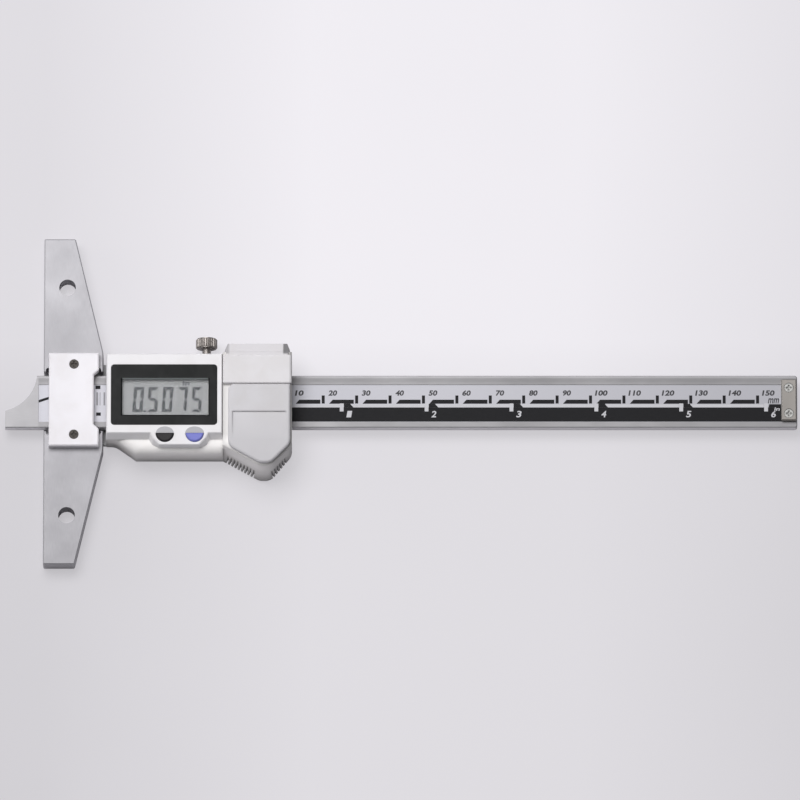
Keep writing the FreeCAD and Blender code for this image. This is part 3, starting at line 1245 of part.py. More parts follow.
make_base()
make_cover_plate()
head_screws("base_cover_screws", PLATE_SCREWS, f"{PLATE_FACE} - screw_sink", "plate_screw_long - screw_sink")
make_slider_frame()
rear_screws("tongue_screws", TONGUE_SCREWS, "screw_sink", "tongue_screw_long")
make_gib()
make_set_screws()
make_lock_screw()
make_housing()
rear_screws("unit_screws", UNIT_SCREWS, "screw_sink", "unit_screw_long")
make_front_cover()
make_bezel()
make_display()
make_boards()
make_keypad()
make_button("zero_button", BUTTONS[0])
make_button("mode_button", BUTTONS[1])
make_battery()
make_battery_lid()
make_battery_seal()
make_connector_cap()
make_socket()
make_beam()
make_scale_strip()
make_end_stop()
head_screws("end_stop_screws", STOP_SCREWS, f"({BEAM_FRONT} + stop_thick - screw_sink)",
            "stop_screw_long - screw_sink")
doc.recompute()

# Every feature has to have worked before a file is written
for item in doc.Objects:
    if {"Invalid", "Error"} & set(item.State):
        raise ValueError(f"{item.Name} failed: {item.State}")
bodies = [item for item in doc.Objects if item.TypeId == "PartDesign::Body"]
for body in bodies:
    if body.Shape.isNull() or not body.Shape.isValid():
        raise ValueError(f"{body.Label} has no valid shape")
os.makedirs("parts", exist_ok=True)
for body in bodies:
    body.Shape.exportStep(f"parts/{body.Label}.step")
    box = body.Shape.BoundBox
    print(f"{body.Label}: {len(body.Shape.Solids)} solids, {body.Shape.Volume:.1f} mm3, "
          f"x {box.XMin:.2f}..{box.XMax:.2f} y {box.YMin:.2f}..{box.YMax:.2f} "
          f"z {box.ZMin:.2f}..{box.ZMax:.2f}")
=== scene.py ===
"""Looks of the depth gauge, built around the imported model.

Lengths are in millimetres here and become metres in the meshes. X runs along the beam away from the
measuring side, Y along the base away from the buttons, and Z out of the display."""

import json
import math

import bpy
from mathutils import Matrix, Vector

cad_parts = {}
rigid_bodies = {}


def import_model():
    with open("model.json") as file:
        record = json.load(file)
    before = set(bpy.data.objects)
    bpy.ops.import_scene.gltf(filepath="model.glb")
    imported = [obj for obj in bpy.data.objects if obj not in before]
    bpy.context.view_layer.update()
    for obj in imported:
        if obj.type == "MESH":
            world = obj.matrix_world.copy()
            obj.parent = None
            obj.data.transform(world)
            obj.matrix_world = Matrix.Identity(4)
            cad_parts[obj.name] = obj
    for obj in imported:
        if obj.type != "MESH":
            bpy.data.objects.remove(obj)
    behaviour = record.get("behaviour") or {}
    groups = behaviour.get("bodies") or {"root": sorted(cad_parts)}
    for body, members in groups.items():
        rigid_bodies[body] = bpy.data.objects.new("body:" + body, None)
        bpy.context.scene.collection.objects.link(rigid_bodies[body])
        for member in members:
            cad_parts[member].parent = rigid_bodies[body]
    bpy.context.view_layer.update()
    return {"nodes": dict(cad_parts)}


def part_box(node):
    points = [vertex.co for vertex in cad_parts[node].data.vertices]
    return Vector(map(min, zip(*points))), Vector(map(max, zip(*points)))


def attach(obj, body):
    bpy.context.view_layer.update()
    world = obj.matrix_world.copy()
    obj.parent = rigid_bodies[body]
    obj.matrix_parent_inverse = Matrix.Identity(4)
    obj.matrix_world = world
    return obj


for stray in list(bpy.data.objects):
    bpy.data.objects.remove(stray)
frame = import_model()
NODES = frame["nodes"]
MM = 0.001


def box_mm(node):
    """Lowest and highest corner of a node in millimetres."""
    low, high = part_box(node)
    return low / MM, high / MM


# Materials

# Turn of the rounded normal at which an edge begins to count, and at which it counts in full.
EDGE_START, EDGE_FULL = 0.02, 0.30


class Finish:
    """One procedural material: a Principled shader and the nodes that drive it."""

    def __init__(self, name, **sockets):
        self.material = bpy.data.materials.new(name)
        self.material.use_nodes = True
        self.tree = self.material.node_tree
        self.tree.nodes.clear()
        self.out = self.tree.nodes.new("ShaderNodeOutputMaterial")
        self.shader = self.tree.nodes.new("ShaderNodeBsdfPrincipled")
        self.tree.links.new(self.shader.outputs["BSDF"], self.out.inputs["Surface"])
        self.place = self.tree.nodes.new("ShaderNodeTexCoord").outputs["Object"]
        for key, value in sockets.items():
            self.shader.inputs[key.replace("_", " ")].default_value = value

    def link(self, source, target):
        """One link of the node tree."""
        self.tree.links.new(source, target)

    def drive(self, socket, source):
        """An output that drives a socket of the shader."""
        self.link(source, self.shader.inputs[socket])

    def grid(self, stretch):
        """Coordinates in millimetres times the three shares in stretch."""
        mapping = self.tree.nodes.new("ShaderNodeMapping")
        mapping.inputs["Scale"].default_value = [s / MM for s in stretch]
        self.link(self.place, mapping.inputs["Vector"])
        return mapping.outputs["Vector"]

    def noise(self, scale, detail=4.0, rough=0.55, stretch=(1, 1, 1), twist=0.0):
        """Noise of that many swings per millimetre."""
        node = self.tree.nodes.new("ShaderNodeTexNoise")
        node.inputs["Scale"].default_value = scale
        node.inputs["Detail"].default_value = detail
        node.inputs["Roughness"].default_value = rough
        node.inputs["Distortion"].default_value = twist
        self.link(self.grid(stretch), node.inputs["Vector"])
        return node.outputs["Fac"]

    def cells(self, scale):
        """Distance to the nearest of scattered points."""
        node = self.tree.nodes.new("ShaderNodeTexVoronoi")
        node.inputs["Scale"].default_value = scale
        self.link(self.grid((1, 1, 1)), node.inputs["Vector"])
        return node.outputs["Distance"]

    def along(self, axis):
        """Place along X, Y or Z in millimetres."""
        parts = self.tree.nodes.new("ShaderNodeSeparateXYZ")
        self.link(self.grid((1, 1, 1)), parts.inputs["Vector"])
        return parts.outputs[axis]

    def span(self, source, low, high, to_low=0.0, to_high=1.0):
        """The source from low to high, mapped to the other two values and held there beyond."""
        node = self.tree.nodes.new("ShaderNodeMapRange")
        node.inputs["From Min"].default_value = low
        node.inputs["From Max"].default_value = high
        node.inputs["To Min"].default_value = to_low
        node.inputs["To Max"].default_value = to_high
        self.link(source, node.inputs["Value"])
        return node.outputs["Result"]

    def maths(self, operation, a, b):
        """One operation on two numbers or outputs."""
        node = self.tree.nodes.new("ShaderNodeMath")
        node.operation = operation
        for socket, value in zip(node.inputs, (a, b)):
            if isinstance(value, (int, float)):
                socket.default_value = value
            else:
                self.link(value, socket)
        return node.outputs["Value"]

    def blend(self, share, a, b):
        """Colour a turning into colour b as share goes from 0 to 1."""
        node = self.tree.nodes.new("ShaderNodeMix")
        node.data_type = "RGBA"
        self.link(share, node.inputs["Factor"])
        colour_in = [s for s in node.inputs if s.type == "RGBA"]
        for socket, value in zip(colour_in, (a, b)):
            if isinstance(value, tuple):
                socket.default_value = (*value, 1.0)
            else:
                self.link(value, socket)
        return [s for s in node.outputs if s.type == "RGBA"][0]

    def edges(self, radius):
        """1 on edges within radius millimetres, 0 on flat faces."""
        bevel = self.tree.nodes.new("ShaderNodeBevel")
        bevel.samples = 4
        bevel.inputs["Radius"].default_value = radius * MM
        geometry = self.tree.nodes.new("ShaderNodeNewGeometry")
        dot = self.tree.nodes.new("ShaderNodeVectorMath")
        dot.operation = "DOT_PRODUCT"
        self.link(bevel.outputs["Normal"], dot.inputs[0])
        self.link(geometry.outputs["True Normal"], dot.inputs[1])
        return self.span(self.maths("SUBTRACT", 1.0, dot.outputs["Value"]), EDGE_START, EDGE_FULL)

    def soil(self, base, colour, light_shade_groups):
        """Painted light and shade: the base colour going to a share of colour, group by group, where all
        spans of a group are reached.
        A group is (share, span, ...) and a span is (axis, where it starts, where it is full)."""
        for share, *spans in light_shade_groups:
            amount = 1.0
            for axis, start, full in spans:
                amount = self.maths("MULTIPLY", self.span(self.along(axis), start, full), amount)
            base = self.blend(amount, base, tuple(min(1.0, c * share) for c in colour))
        return base

    def relief(self, height, distance, strength, edge=0.0):
        """Bump of that depth in millimetres, over edges rounded by edge millimetres."""
        bump = self.tree.nodes.new("ShaderNodeBump")
        bump.inputs["Strength"].default_value = strength
        bump.inputs["Distance"].default_value = distance * MM
        self.link(height, bump.inputs["Height"])
        if edge:
            bevel = self.tree.nodes.new("ShaderNodeBevel")
            bevel.samples = 4
            bevel.inputs["Radius"].default_value = edge * MM
            self.link(bevel.outputs["Normal"], bump.inputs["Normal"])
        self.drive("Normal", bump.outputs["Normal"])


def steel(name, colour, grain, rough=0.36, deep=0.004, tone=0.06, edge=0.12, light_shade_groups=(), rim=1.35):
    """Ground or brushed steel: grain gives the stretch of its lines along X, Y and Z, grime the groups of
    painted light and shade, and rim the share of the colour on edges: above 1 a lighter wear of the edges,
    below 1 a painted shade."""
    look = Finish(name, Metallic=1.0)
    lines = look.noise(1.0, 6.0, 0.7, grain)
    fine = look.noise(2.2, 3.0, 0.6, grain)
    cloud = look.noise(0.06, 3.0, 0.5)
    dark = tuple(c * (1 - tone) for c in colour)
    pale = tuple(min(1.0, c * (1 + tone)) for c in colour)
    base = look.blend(look.span(look.maths("ADD", lines, fine), 0.7, 1.3), dark, pale)
    clouded = look.blend(look.span(cloud, 0.35, 0.75, 0.0, 0.35), base, tuple(c * 0.95 for c in colour))
    toned = look.soil(clouded, colour, light_shade_groups)
    # Lighter worn edges where rim is above 1, painted shade on the edges where rim is below 1.
    edge_colour = tuple(min(1.0, c * rim) for c in colour)
    rims = look.maths("MULTIPLY", look.edges(edge), 0.55)
    look.drive("Base Color", look.blend(rims, toned, edge_colour))
    look.drive("Roughness", look.span(look.maths("ADD", lines, cloud), 0.6, 1.4, rough - 0.06, rough + 0.10))
    look.relief(look.maths("ADD", lines, look.maths("MULTIPLY", fine, 0.5)), deep, 0.8, edge)
    return look.material


WARM = (1.0, 0.985, 0.955)
NEUTRAL = (1.0, 1.0, 1.0)


def plastic(name, colour, rough=0.42, pits=9.0, deep=0.006, edge=0.15, warm=WARM, gloss=0.45, light_shade_groups=()):
    """Moulded plastic with a fine spark-eroded texture, handling marks and slightly worn edges.
    warm is the tint of its marks, and grime the groups of painted light and shade."""
    look = Finish(name, Specular_IOR_Level=gloss)
    grainy = look.noise(pits, 3.0, 0.6)
    cloud = look.noise(0.12, 4.0, 0.6, twist=0.4)
    marks = look.noise(0.9, 5.0, 0.75, (1.0, 0.35, 1.0))
    soiled = tuple(c * w * 0.94 for c, w in zip(colour, warm))
    base = look.blend(look.span(cloud, 0.42, 0.72, 0.0, 0.55), colour, soiled)
    specks = look.blend(look.span(grainy, 0.62, 0.80, 0.0, 0.25), base, tuple(c * 0.86 for c in colour))
    toned = look.soil(specks, colour, light_shade_groups)
    edge_colour = tuple(min(0.92, c * 1.06 + 0.01) for c in colour)
    rims = look.maths("MULTIPLY", look.edges(min(edge, 0.2)), 0.35)
    look.drive("Base Color", look.blend(rims, toned, edge_colour))
    look.drive("Roughness", look.span(look.maths("ADD", marks, cloud), 0.7, 1.3, rough - 0.07, rough + 0.10))
    look.relief(grainy, deep, 0.7, edge)
    return look.material


def rubber(name, colour):
    """Matt rubber with dust on it."""
    look = Finish(name, Specular_IOR_Level=0.3)
    grainy = look.noise(14.0, 3.0, 0.6)
    dust = look.noise(0.7, 5.0, 0.7)
    dusty = tuple(c * 1.5 + 0.01 for c in colour)
    look.drive("Base Color", look.blend(look.span(dust, 0.45, 0.75, 0.0, 0.5), colour, dusty))
    look.drive("Roughness", look.span(dust, 0.3, 0.7, 0.65, 0.85))
    look.relief(grainy, 0.008, 0.8, 0.1)
    return look.material


def printed(name, colour, rough=0.5, wear=0.12, far=None, gloss=0.35, light_shade_groups=()):
    """Screen print: slightly uneven ink that thins toward the colour far in worn spots."""
    look = Finish(name, Specular_IOR_Level=gloss)
    ink = look.noise(3.5, 4.0, 0.6)
    thin = look.noise(0.8, 6.0, 0.8, (0.5, 1.5, 1.0))
    far = far or tuple(c * 0.75 + 0.08 for c in colour)
    base = look.blend(look.span(look.maths("ADD", ink, thin), 0.95, 1.45, 0.0, wear * 2), colour, far)
    # Painted light and shade from the groups in grime.
    look.drive("Base Color", look.soil(base, colour, light_shade_groups))
    look.drive("Roughness", look.span(ink, 0.3, 0.7, rough - 0.06, rough + 0.1))
    look.relief(ink, 0.003, 0.6)
    return look.material


def board(name):
    """Solder mask over copper runs."""
    look = Finish(name, Specular_IOR_Level=0.5)
    runs = look.noise(0.9, 2.0, 0.5, (1.0, 0.25, 1.0), 0.6)
    pads = look.cells(0.55)
    base = look.blend(look.span(runs, 0.48, 0.52), (0.012, 0.10, 0.035), (0.03, 0.19, 0.07))
    look.drive("Base Color", look.blend(look.span(pads, 0.16, 0.12), base, (0.72, 0.62, 0.38)))
    look.drive("Roughness", look.span(runs, 0.3, 0.7, 0.25, 0.45))
    look.relief(runs, 0.03, 0.6)
    return look.material


def window(name):
    """Clear plastic pane that lets the lamps through to the panel."""
    look = Finish(name, Base_Color=(0.97, 0.98, 0.98, 1.0), Transmission_Weight=1.0, IOR=1.12)
    haze = look.noise(0.5, 5.0, 0.7)
    look.drive("Roughness", look.span(haze, 0.35, 0.75, 0.02, 0.06))
    path = look.tree.nodes.new("ShaderNodeLightPath")
    clear = look.tree.nodes.new("ShaderNodeBsdfTransparent")
    mix = look.tree.nodes.new("ShaderNodeMixShader")
    passing = look.maths("MAXIMUM", path.outputs["Is Shadow Ray"], path.outputs["Is Diffuse Ray"])
    look.link(passing, mix.inputs[0])
    look.link(look.shader.outputs["BSDF"], mix.inputs[1])
    look.link(clear.outputs["BSDF"], mix.inputs[2])
    look.link(mix.outputs["Shader"], look.out.inputs["Surface"])
    return look.material


def lcd_film(name, colour, painted_light=()):
    """Reflective panel: fine film grain, a slight cloud, and painted light given in border as groups of
    spans.
    """
    look = Finish(name, Specular_IOR_Level=0.1)
    film = look.noise(10.0, 2.0, 0.5)
    cloud = look.noise(0.18, 3.0, 0.5)
    tone = look.blend(look.span(cloud, 0.35, 0.7), colour, tuple(c * 1.10 for c in colour))
    base = look.blend(look.span(film, 0.35, 0.75, 0.0, 0.5), tone, tuple(c * 0.92 for c in colour))
    look.drive("Base Color", look.soil(base, colour, painted_light))
    look.drive("Roughness", look.span(film, 0.3, 0.7, 0.42, 0.55))
    look.relief(film, 0.002, 0.5)
    return look.material


# Painted shade and painted light: darker and lighter stretches, as groups of spans, placed from the boxes of
# the nodes.

HEAD_FAR = box_mm("housing")[1].x
HEAD_SOUTH = box_mm("housing")[0].y
CAP_NEAR, CAP_NORTH = box_mm("connector_cap")[0].x, box_mm("connector_cap")[1].y
LID_FAR = box_mm("battery_cover")[1].x
RAIL_SOUTH, RAIL_NORTH = box_mm("beam")[0].y, box_mm("beam")[1].y
STRIP_NEAR, STRIP_FAR = box_mm("scale_strip")[0].x, box_mm("scale_strip")[1].x
FACE = box_mm("display_bezel")[1].z
# Edges of the display's opening in the bezel, and the slope round it.
VIEW_LEFT, VIEW_RIGHT = box_mm("display_bezel")[0].x + 3.4, box_mm("display_bezel")[1].x - 2.7
VIEW_NORTH, VIEW_CHAMFER = 4.80, 0.35

# Beyond the strip's near end, at the north of the cap, and on the wall under the battery lid.
BEYOND = ("X", STRIP_NEAR - 0.25, STRIP_NEAR + 0.15)
AT_CAP_NORTH = ("Y", CAP_NORTH - 4.5, CAP_NORTH - 3.7)
BELOW_LID = ("Y", HEAD_SOUTH + 11.4, HEAD_SOUTH + 9.4)

# Painted shade: the base darker towards negative Y.
BASE_SHADE = [(0.90, ("Y", 30.0, -40.0))]
# Painted shade and painted highlights on the rails: a darker band inside the north rail, a lighter north
# edge, a darker band on the south rail and a lighter south side.
BEAM_LIGHT_AND_SHADE = [
    (0.74, ("Y", RAIL_NORTH + 0.2, RAIL_NORTH - 1.2), ("Y", RAIL_NORTH - 3.6, RAIL_NORTH - 1.7), BEYOND),
    (1.30, ("Y", RAIL_NORTH - 0.8, RAIL_NORTH - 0.1)),
    (0.87, ("Y", RAIL_SOUTH + 1.9, RAIL_SOUTH + 1.6), ("Y", RAIL_SOUTH + 0.1, RAIL_SOUTH + 0.2), BEYOND),
    (1.80, ("Y", RAIL_SOUTH + 0.15, RAIL_SOUTH + 0.02)),
]
# Painted shade: the strip darker towards its far end.
STRIP_SHADE = [(0.79, ("X", STRIP_NEAR + 111.55, STRIP_FAR - 3.45))]
# Painted light and shade on the housing: the upper wall under the battery lid lighter away from the far end,
# that wall darker near the far end, and the housing darker towards the bottom and at the far end.
HOUSING_LIGHT_AND_SHADE = [
    (1.20, ("Z", 8.0, 10.5), BELOW_LID, ("X", HEAD_FAR - 6.3, HEAD_FAR - 9.3)),
    (0.72, BELOW_LID, ("X", HEAD_FAR - 6.8, HEAD_FAR - 4.8)),
    (0.58, ("Z", 7.5, 3.0)),
    (0.60, ("X", HEAD_FAR - 1.0, HEAD_FAR - 0.4)),
]
# Painted shade: the battery lid darker towards negative Y and at its far edge.
LID_SHADE = [
    (0.90, ("Y", -3.0, -14.0)),
    (0.74, ("X", LID_FAR - 0.8, LID_FAR - 0.1)),
]
# Painted shade: dark flanks on the north part of the connector cap, the far one darkest, and a darker far
# edge.
CAP_SHADE = [
    (0.26, ("X", HEAD_FAR - 2.8, HEAD_FAR - 2.4), AT_CAP_NORTH),
    (0.62, ("X", CAP_NEAR + 2.1, CAP_NEAR + 1.5), AT_CAP_NORTH),
    (0.62, ("X", HEAD_FAR - 0.9, HEAD_FAR - 0.3)),
]
# Painted light: the north wall and slope of the display's opening lightened far above the black of the bezel.
BEZEL_PAINTED_LIGHT = [
    (26.0, ("Y", VIEW_NORTH - 0.10, VIEW_NORTH - 0.01),
     ("Y", VIEW_NORTH + VIEW_CHAMFER + 0.01, VIEW_NORTH + VIEW_CHAMFER - 0.02),
     ("Z", FACE, FACE - 0.04),
     ("X", VIEW_LEFT - 0.04, VIEW_LEFT + 0.04), ("X", VIEW_RIGHT + 0.04, VIEW_RIGHT - 0.04)),
]
# Painted light: a lighter band along the panel's north edge, where the bezel's shadow falls on it.
LCD_PAINTED_LIGHT = [(2.2, ("Y", VIEW_NORTH - 0.44, VIEW_NORTH - 0.20))]

# Stretch of the grain of the steels: lines along X or along Y, or no lines.
ALONG_X, ALONG_Y = (0.35, 6.0, 6.0), (6.0, 0.35, 6.0)
EVEN, FINER = (4.0, 4.0, 4.0), (5.0, 5.0, 5.0)
LOOKS = {
    "base": steel("ground_base", (0.535, 0.53, 0.55), ALONG_Y, 0.66, 0.003, 0.05, 0.03, BASE_SHADE),
    "base_cover_plate": plastic("satin_plate", (0.88, 0.865, 0.90), 0.40, 6.0, 0.003, 0.12),
    # Painted shade: rim below 1 darkens the edges of the screw heads.
    "base_cover_screws": steel("blackened_screw", (0.085, 0.078, 0.072), FINER, 0.55, 0.004, 0.12, 0.25,
                               rim=0.4),
    "slider_frame": steel("frame_steel", (0.46, 0.46, 0.465), ALONG_X, 0.60, 0.004, 0.06),
    "tongue_screws": steel("bright_screw", (0.55, 0.55, 0.54), EVEN, 0.45, 0.002, 0.05, 0.06),
    "gib": steel("gib_steel", (0.46, 0.46, 0.47), (0.30, 6.0, 6.0), 0.60, 0.004, 0.06),
    "gib_set_screws": steel("set_screw", (0.10, 0.095, 0.09), FINER, 0.50, 0.004, 0.12, 0.06),
    "lock_screw": steel("knurled_steel", (0.27, 0.25, 0.235), EVEN, 0.44, 0.004, 0.12, 0.10),
    "housing": plastic("housing_plastic", (0.80, 0.785, 0.77), 0.44, edge=2.2, gloss=0.40,
                       light_shade_groups=HOUSING_LIGHT_AND_SHADE),
    "unit_screws": steel("unit_screw", (0.50, 0.50, 0.49), EVEN, 0.46, 0.002, 0.06, 0.06),
    "front_cover": plastic("cover_plastic", (0.86, 0.85, 0.865), 0.38),
    "display_bezel": plastic("bezel_plastic", (0.010, 0.011, 0.011), 0.46, 12.0, 0.002, 0.12, NEUTRAL, 0.14,
                             BEZEL_PAINTED_LIGHT),
    "lcd_window": window("clear_window"),
    "lcd_panel": lcd_film("lcd_film", (0.385, 0.390, 0.394), LCD_PAINTED_LIGHT),
    "display_contacts": rubber("contact_rubber", (0.10, 0.10, 0.11)),
    "sensor_board": board("sensor_board_mask"),
    "main_board": board("main_board_mask"),
    "keypad": rubber("pad_rubber", (0.25, 0.25, 0.26)),
    "zero_button": plastic("black_button", (0.030, 0.028, 0.030), 0.46, 14.0, 0.003, 0.15, NEUTRAL, 0.18),
    "mode_button": plastic("blue_button", (0.215, 0.235, 0.66), 0.46, 14.0, 0.003, 0.15, NEUTRAL, 0.25),
    "battery": steel("cell_steel", (0.74, 0.74, 0.73), (3.0, 3.0, 3.0), 0.22, 0.001, 0.03),
    "battery_contacts": steel("spring_brass", (0.72, 0.57, 0.29), EVEN, 0.28, 0.002, 0.06),
    "battery_cover": plastic("lid_plastic", (0.675, 0.665, 0.685), 0.46, edge=0.8, gloss=0.40,
                             light_shade_groups=LID_SHADE),
    "battery_seal": rubber("seal_rubber", (0.03, 0.03, 0.03)),
    "connector_cap": plastic("cap_plastic", (0.78, 0.765, 0.78), 0.44, edge=0.30, light_shade_groups=CAP_SHADE),
    "data_socket": plastic("socket_plastic", (0.04, 0.04, 0.045), 0.45, 10.0, 0.004, 0.1),
    "socket_seal": rubber("socket_rubber", (0.03, 0.03, 0.03)),
    "beam": steel("beam_steel", (0.43, 0.425, 0.435), (0.25, 7.0, 7.0), 0.62, 0.003, 0.05, 0.04, BEAM_LIGHT_AND_SHADE),
    "scale_strip": printed("silver_print", (0.66, 0.66, 0.71), 0.50, 0.10, light_shade_groups=STRIP_SHADE),
    "end_stop_plate": steel("stop_steel", (0.36, 0.342, 0.32), (3.0, 6.0, 6.0), 0.58, 0.004, 0.10),
    # Painted shade: rim below 1 darkens the edges of the screw heads.
    "end_stop_screws": steel("stop_screw", (0.60, 0.60, 0.58), EVEN, 0.60, 0.002, 0.05, 0.55, rim=0.30),
}
for node, look in LOOKS.items():
    materials = NODES[node].data.materials
    for place in range(len(materials)):
        materials[place] = look
    if not len(materials):
        materials.append(look)

# Black print, also used for the painted shade at the corners of the cover plate's notch.
BLACK_INK_AND_SHADE = printed("black_ink_and_shade", (0.010, 0.010, 0.012), 0.52, 0.05, (0.025, 0.025, 0.028), 0.16)
WHITE_INK = printed("white_ink", (0.66, 0.66, 0.69), 0.45, 0.15, (0.40, 0.40, 0.42))
NUMBER_INK = printed("number_ink", (0.035, 0.035, 0.04), 0.45, 0.12, (0.12, 0.12, 0.13))
LINE_INK = printed("line_ink", (0.30, 0.30, 0.32), 0.50, 0.20, (0.45, 0.45, 0.47), 0.2)
LABEL_INK = printed("label_ink", (0.50, 0.50, 0.52), 0.50, 0.12, (0.56, 0.56, 0.58), 0.25)
SEGMENT_INK = printed("segment_ink", (0.108, 0.114, 0.120), 0.60, 0.05, (0.13, 0.135, 0.14), 0.1)
GHOST_INK = printed("ghost_segment", (0.355, 0.360, 0.364), 0.60, 0.05, (0.37, 0.374, 0.378), 0.1)


# Flat pieces


def riding_piece(name, points, faces, look, body):
    """A new piece of those points, in metres, and faces, which rides on a body."""
    mesh = bpy.data.meshes.new(name)
    mesh.from_pydata(points, [], faces)
    mesh.materials.append(look)
    mesh.update()
    piece = bpy.data.objects.new(name, mesh)
    bpy.context.scene.collection.objects.link(piece)
    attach(piece, body)


def plate(name, outlines, low, high, look, body, slot):
    """Thin plates on given outlines, in millimetres, from height low to high."""
    points, faces = [], []
    for outline in outlines:
        start, count = len(points), len(outline)
        points += [(x * MM, y * MM, low * MM) for x, y in outline]
        points += [(x * MM, y * MM, high * MM) for x, y in outline]
        faces.append([start + count + i for i in range(count)])
        faces.append([start + i for i in reversed(range(count))])
        for i in range(count):
            j = (i + 1) % count
            faces.append([start + i, start + j, start + count + j, start + count + i])
    riding_piece(name, points, faces, look, body)


def letters(text, heavy):
    """Mesh of a text in Blender's own size, thickened by heavy."""
    curve = bpy.data.curves.new("letters", "FONT")
    curve.body = text
    curve.extrude = 0.5
    curve.offset = heavy
    curve.resolution_u = 3
    maker = bpy.data.objects.new("letters", curve)
    bpy.context.scene.collection.objects.link(maker)
    bpy.context.view_layer.update()
    mesh = bpy.data.meshes.new_from_object(maker.evaluated_get(bpy.context.evaluated_depsgraph_get()))
    bpy.data.objects.remove(maker)
    return mesh


def words(name, entries, low, high, look, body, slot, lean=0.0, heavy=0.022):
    """Raised generic numbers and units, from height low to high: entries are (text, left X, bottom Y, wide,
    tall) in millimetres, lean is their slant, and heavy thickens them."""
    points, faces = [], []
    for text, left, bottom, wide, tall in entries:
        mesh = letters(text, heavy)
        places = [vertex.co for vertex in mesh.vertices]
        xs, ys = [place.x for place in places], [place.y for place in places]
        start = len(points)
        for place in places:
            across = (place.x - min(xs)) / (max(xs) - min(xs)) * wide
            up = (place.y - min(ys)) / (max(ys) - min(ys)) * tall
            level = high if place.z > 0 else low
            points.append(tuple(Vector((left + across + lean * up, bottom + up, level)) * MM))
        faces += [[start + i for i in face.vertices] for face in mesh.polygons]
    riding_piece(name, points, faces, look, body)


def oblong(x0, y0, x1, y1):
    """Rectangle from one corner to the opposite one."""
    return [(x0, y0), (x1, y0), (x1, y1), (x0, y1)]


# Scale on the beam

STRIP_TOP = box_mm("scale_strip")[1].z
STOP_LEFT = box_mm("end_stop_plate")[0].x
INK = 0.012
LEAN = 0.18

MM_ZERO, MM_STEP, MM_STEPS = 63.65, 10, 15
TICK_HALF, TICK_LOW, TICK_HIGH = 0.46, -0.55, 1.95
DASH_LEFT, DASH_CUT, DASH_RIGHT, DASH_LOW, DASH_HIGH = 1.75, 1.10, 9.15, -0.61, 0.64
NUMBER_LOW, NUMBER_TALL = 1.84, 1.70
NUMBER_PLACES = {2: (1.50, 2.50), 3: (1.30, 3.65)}

INCH_ZERO, INCH_STEP, INCHES = 63.73, 25.4, 6
BAND_LEFT, BAND_LOW, BAND_HIGH, BAND_GAP = 58.0, -6.10, -1.74, 0.25
LINE_LEFT, LINE_CUT, LINE_RIGHT, LINE_HIGH = 2.7, 0.9, 0.69, -0.83
MARK_LEFT, MARK_RIGHT, MARK_LOW, MARK_HIGH = 0.52, 0.62, -2.97, -0.52
LINK_LEFT, LINK_RIGHT, LINK_CUT, LINK_LOW, LINK_HIGH = 0.70, 3.55, 0.90, -1.73, -0.62
INCH_AFTER, INCH_LOW, INCH_WIDE, INCH_TALL = 1.45, -4.80, 1.40, 2.0
LAST_LEFT, LAST_SLOPE, LAST_HIGH, LAST_GAP = 0.78, 0.22, -0.75, 0.03

# Each as (text, left X, bottom Y, wide, tall).
MM_UNIT, INCH_UNIT = ("mm", 216.7, -0.5, 3.2, 1.6), ("in", 218.6, -2.75, 1.6, 1.05)
# Painted shade at the corners of the cover plate's notch, drawn with the black print material: each as
# (centre X, centre Y, wide, tall).
NOTCH_SHADE_MARKS = ((16.2, 4.45, 1.5, 1.1), (16.4, -3.8, 1.4, 1.0))
# Each as (left X, wide).
LEFT_LINES = ((15.75, 0.5), (16.75, 0.22), (17.9, 0.5))
LEFT_LINES_LOW, LEFT_LINES_HIGH = -1.1, 2.9
DATUM_LINE = [(-1.50, -0.25), (1.75, 0.82), (1.75, 1.62), (-1.50, 0.55)]

black, white, numbers, inch_numbers = [], [], [], []
for step in range(MM_STEPS + 1):
    x = MM_ZERO + MM_STEP * step
    black.append(oblong(x - TICK_HALF, TICK_LOW, x + TICK_HALF, TICK_HIGH))
    if step < MM_STEPS:
        black.append([(x + DASH_LEFT, DASH_LOW), (x + DASH_RIGHT, DASH_LOW),
                      (x + DASH_RIGHT, DASH_HIGH), (x + DASH_LEFT + DASH_CUT, DASH_HIGH)])
    if step:
        label = str(MM_STEP * step)
        after, wide = NUMBER_PLACES[len(label)]
        numbers.append((label, x + after, NUMBER_LOW, wide, NUMBER_TALL))
black.append(oblong(BAND_LEFT, BAND_LOW, STRIP_FAR - BAND_GAP, BAND_HIGH))
inches = [INCH_ZERO + INCH_STEP * k for k in range(INCHES + 1)]
for here, there in zip(inches, inches[1:]):
    white.append([(here + LINE_LEFT + LINE_CUT, BAND_HIGH), (there - LINE_RIGHT, BAND_HIGH),
                  (there - LINE_RIGHT, LINE_HIGH), (here + LINE_LEFT, LINE_HIGH)])
for k, x in enumerate(inches):
    if k:
        white.append(oblong(x - MARK_LEFT, MARK_LOW, x + MARK_RIGHT, MARK_HIGH))
        inch_numbers.append((str(k), x + INCH_AFTER, INCH_LOW, INCH_WIDE, INCH_TALL))
    if 0 < k < INCHES:
        black.append([(x + LINK_LEFT, LINK_LOW), (x + LINK_RIGHT, LINK_LOW),
                      (x + LINK_RIGHT - LINK_CUT, LINK_HIGH), (x + LINK_LEFT, LINK_HIGH)])
last = inches[-1] + LAST_LEFT
black.append([(last, LINK_LOW), (STOP_LEFT - LAST_GAP, LINK_LOW), (STOP_LEFT - LAST_GAP, LAST_HIGH),
              (last + LAST_SLOPE, LAST_HIGH)])
for x, y, wide, tall in NOTCH_SHADE_MARKS:
    black.append(oblong(x - wide / 2, y - tall / 2, x + wide / 2, y + tall / 2))
lines = [oblong(x, LEFT_LINES_LOW, x + wide, LEFT_LINES_HIGH) for x, wide in LEFT_LINES]

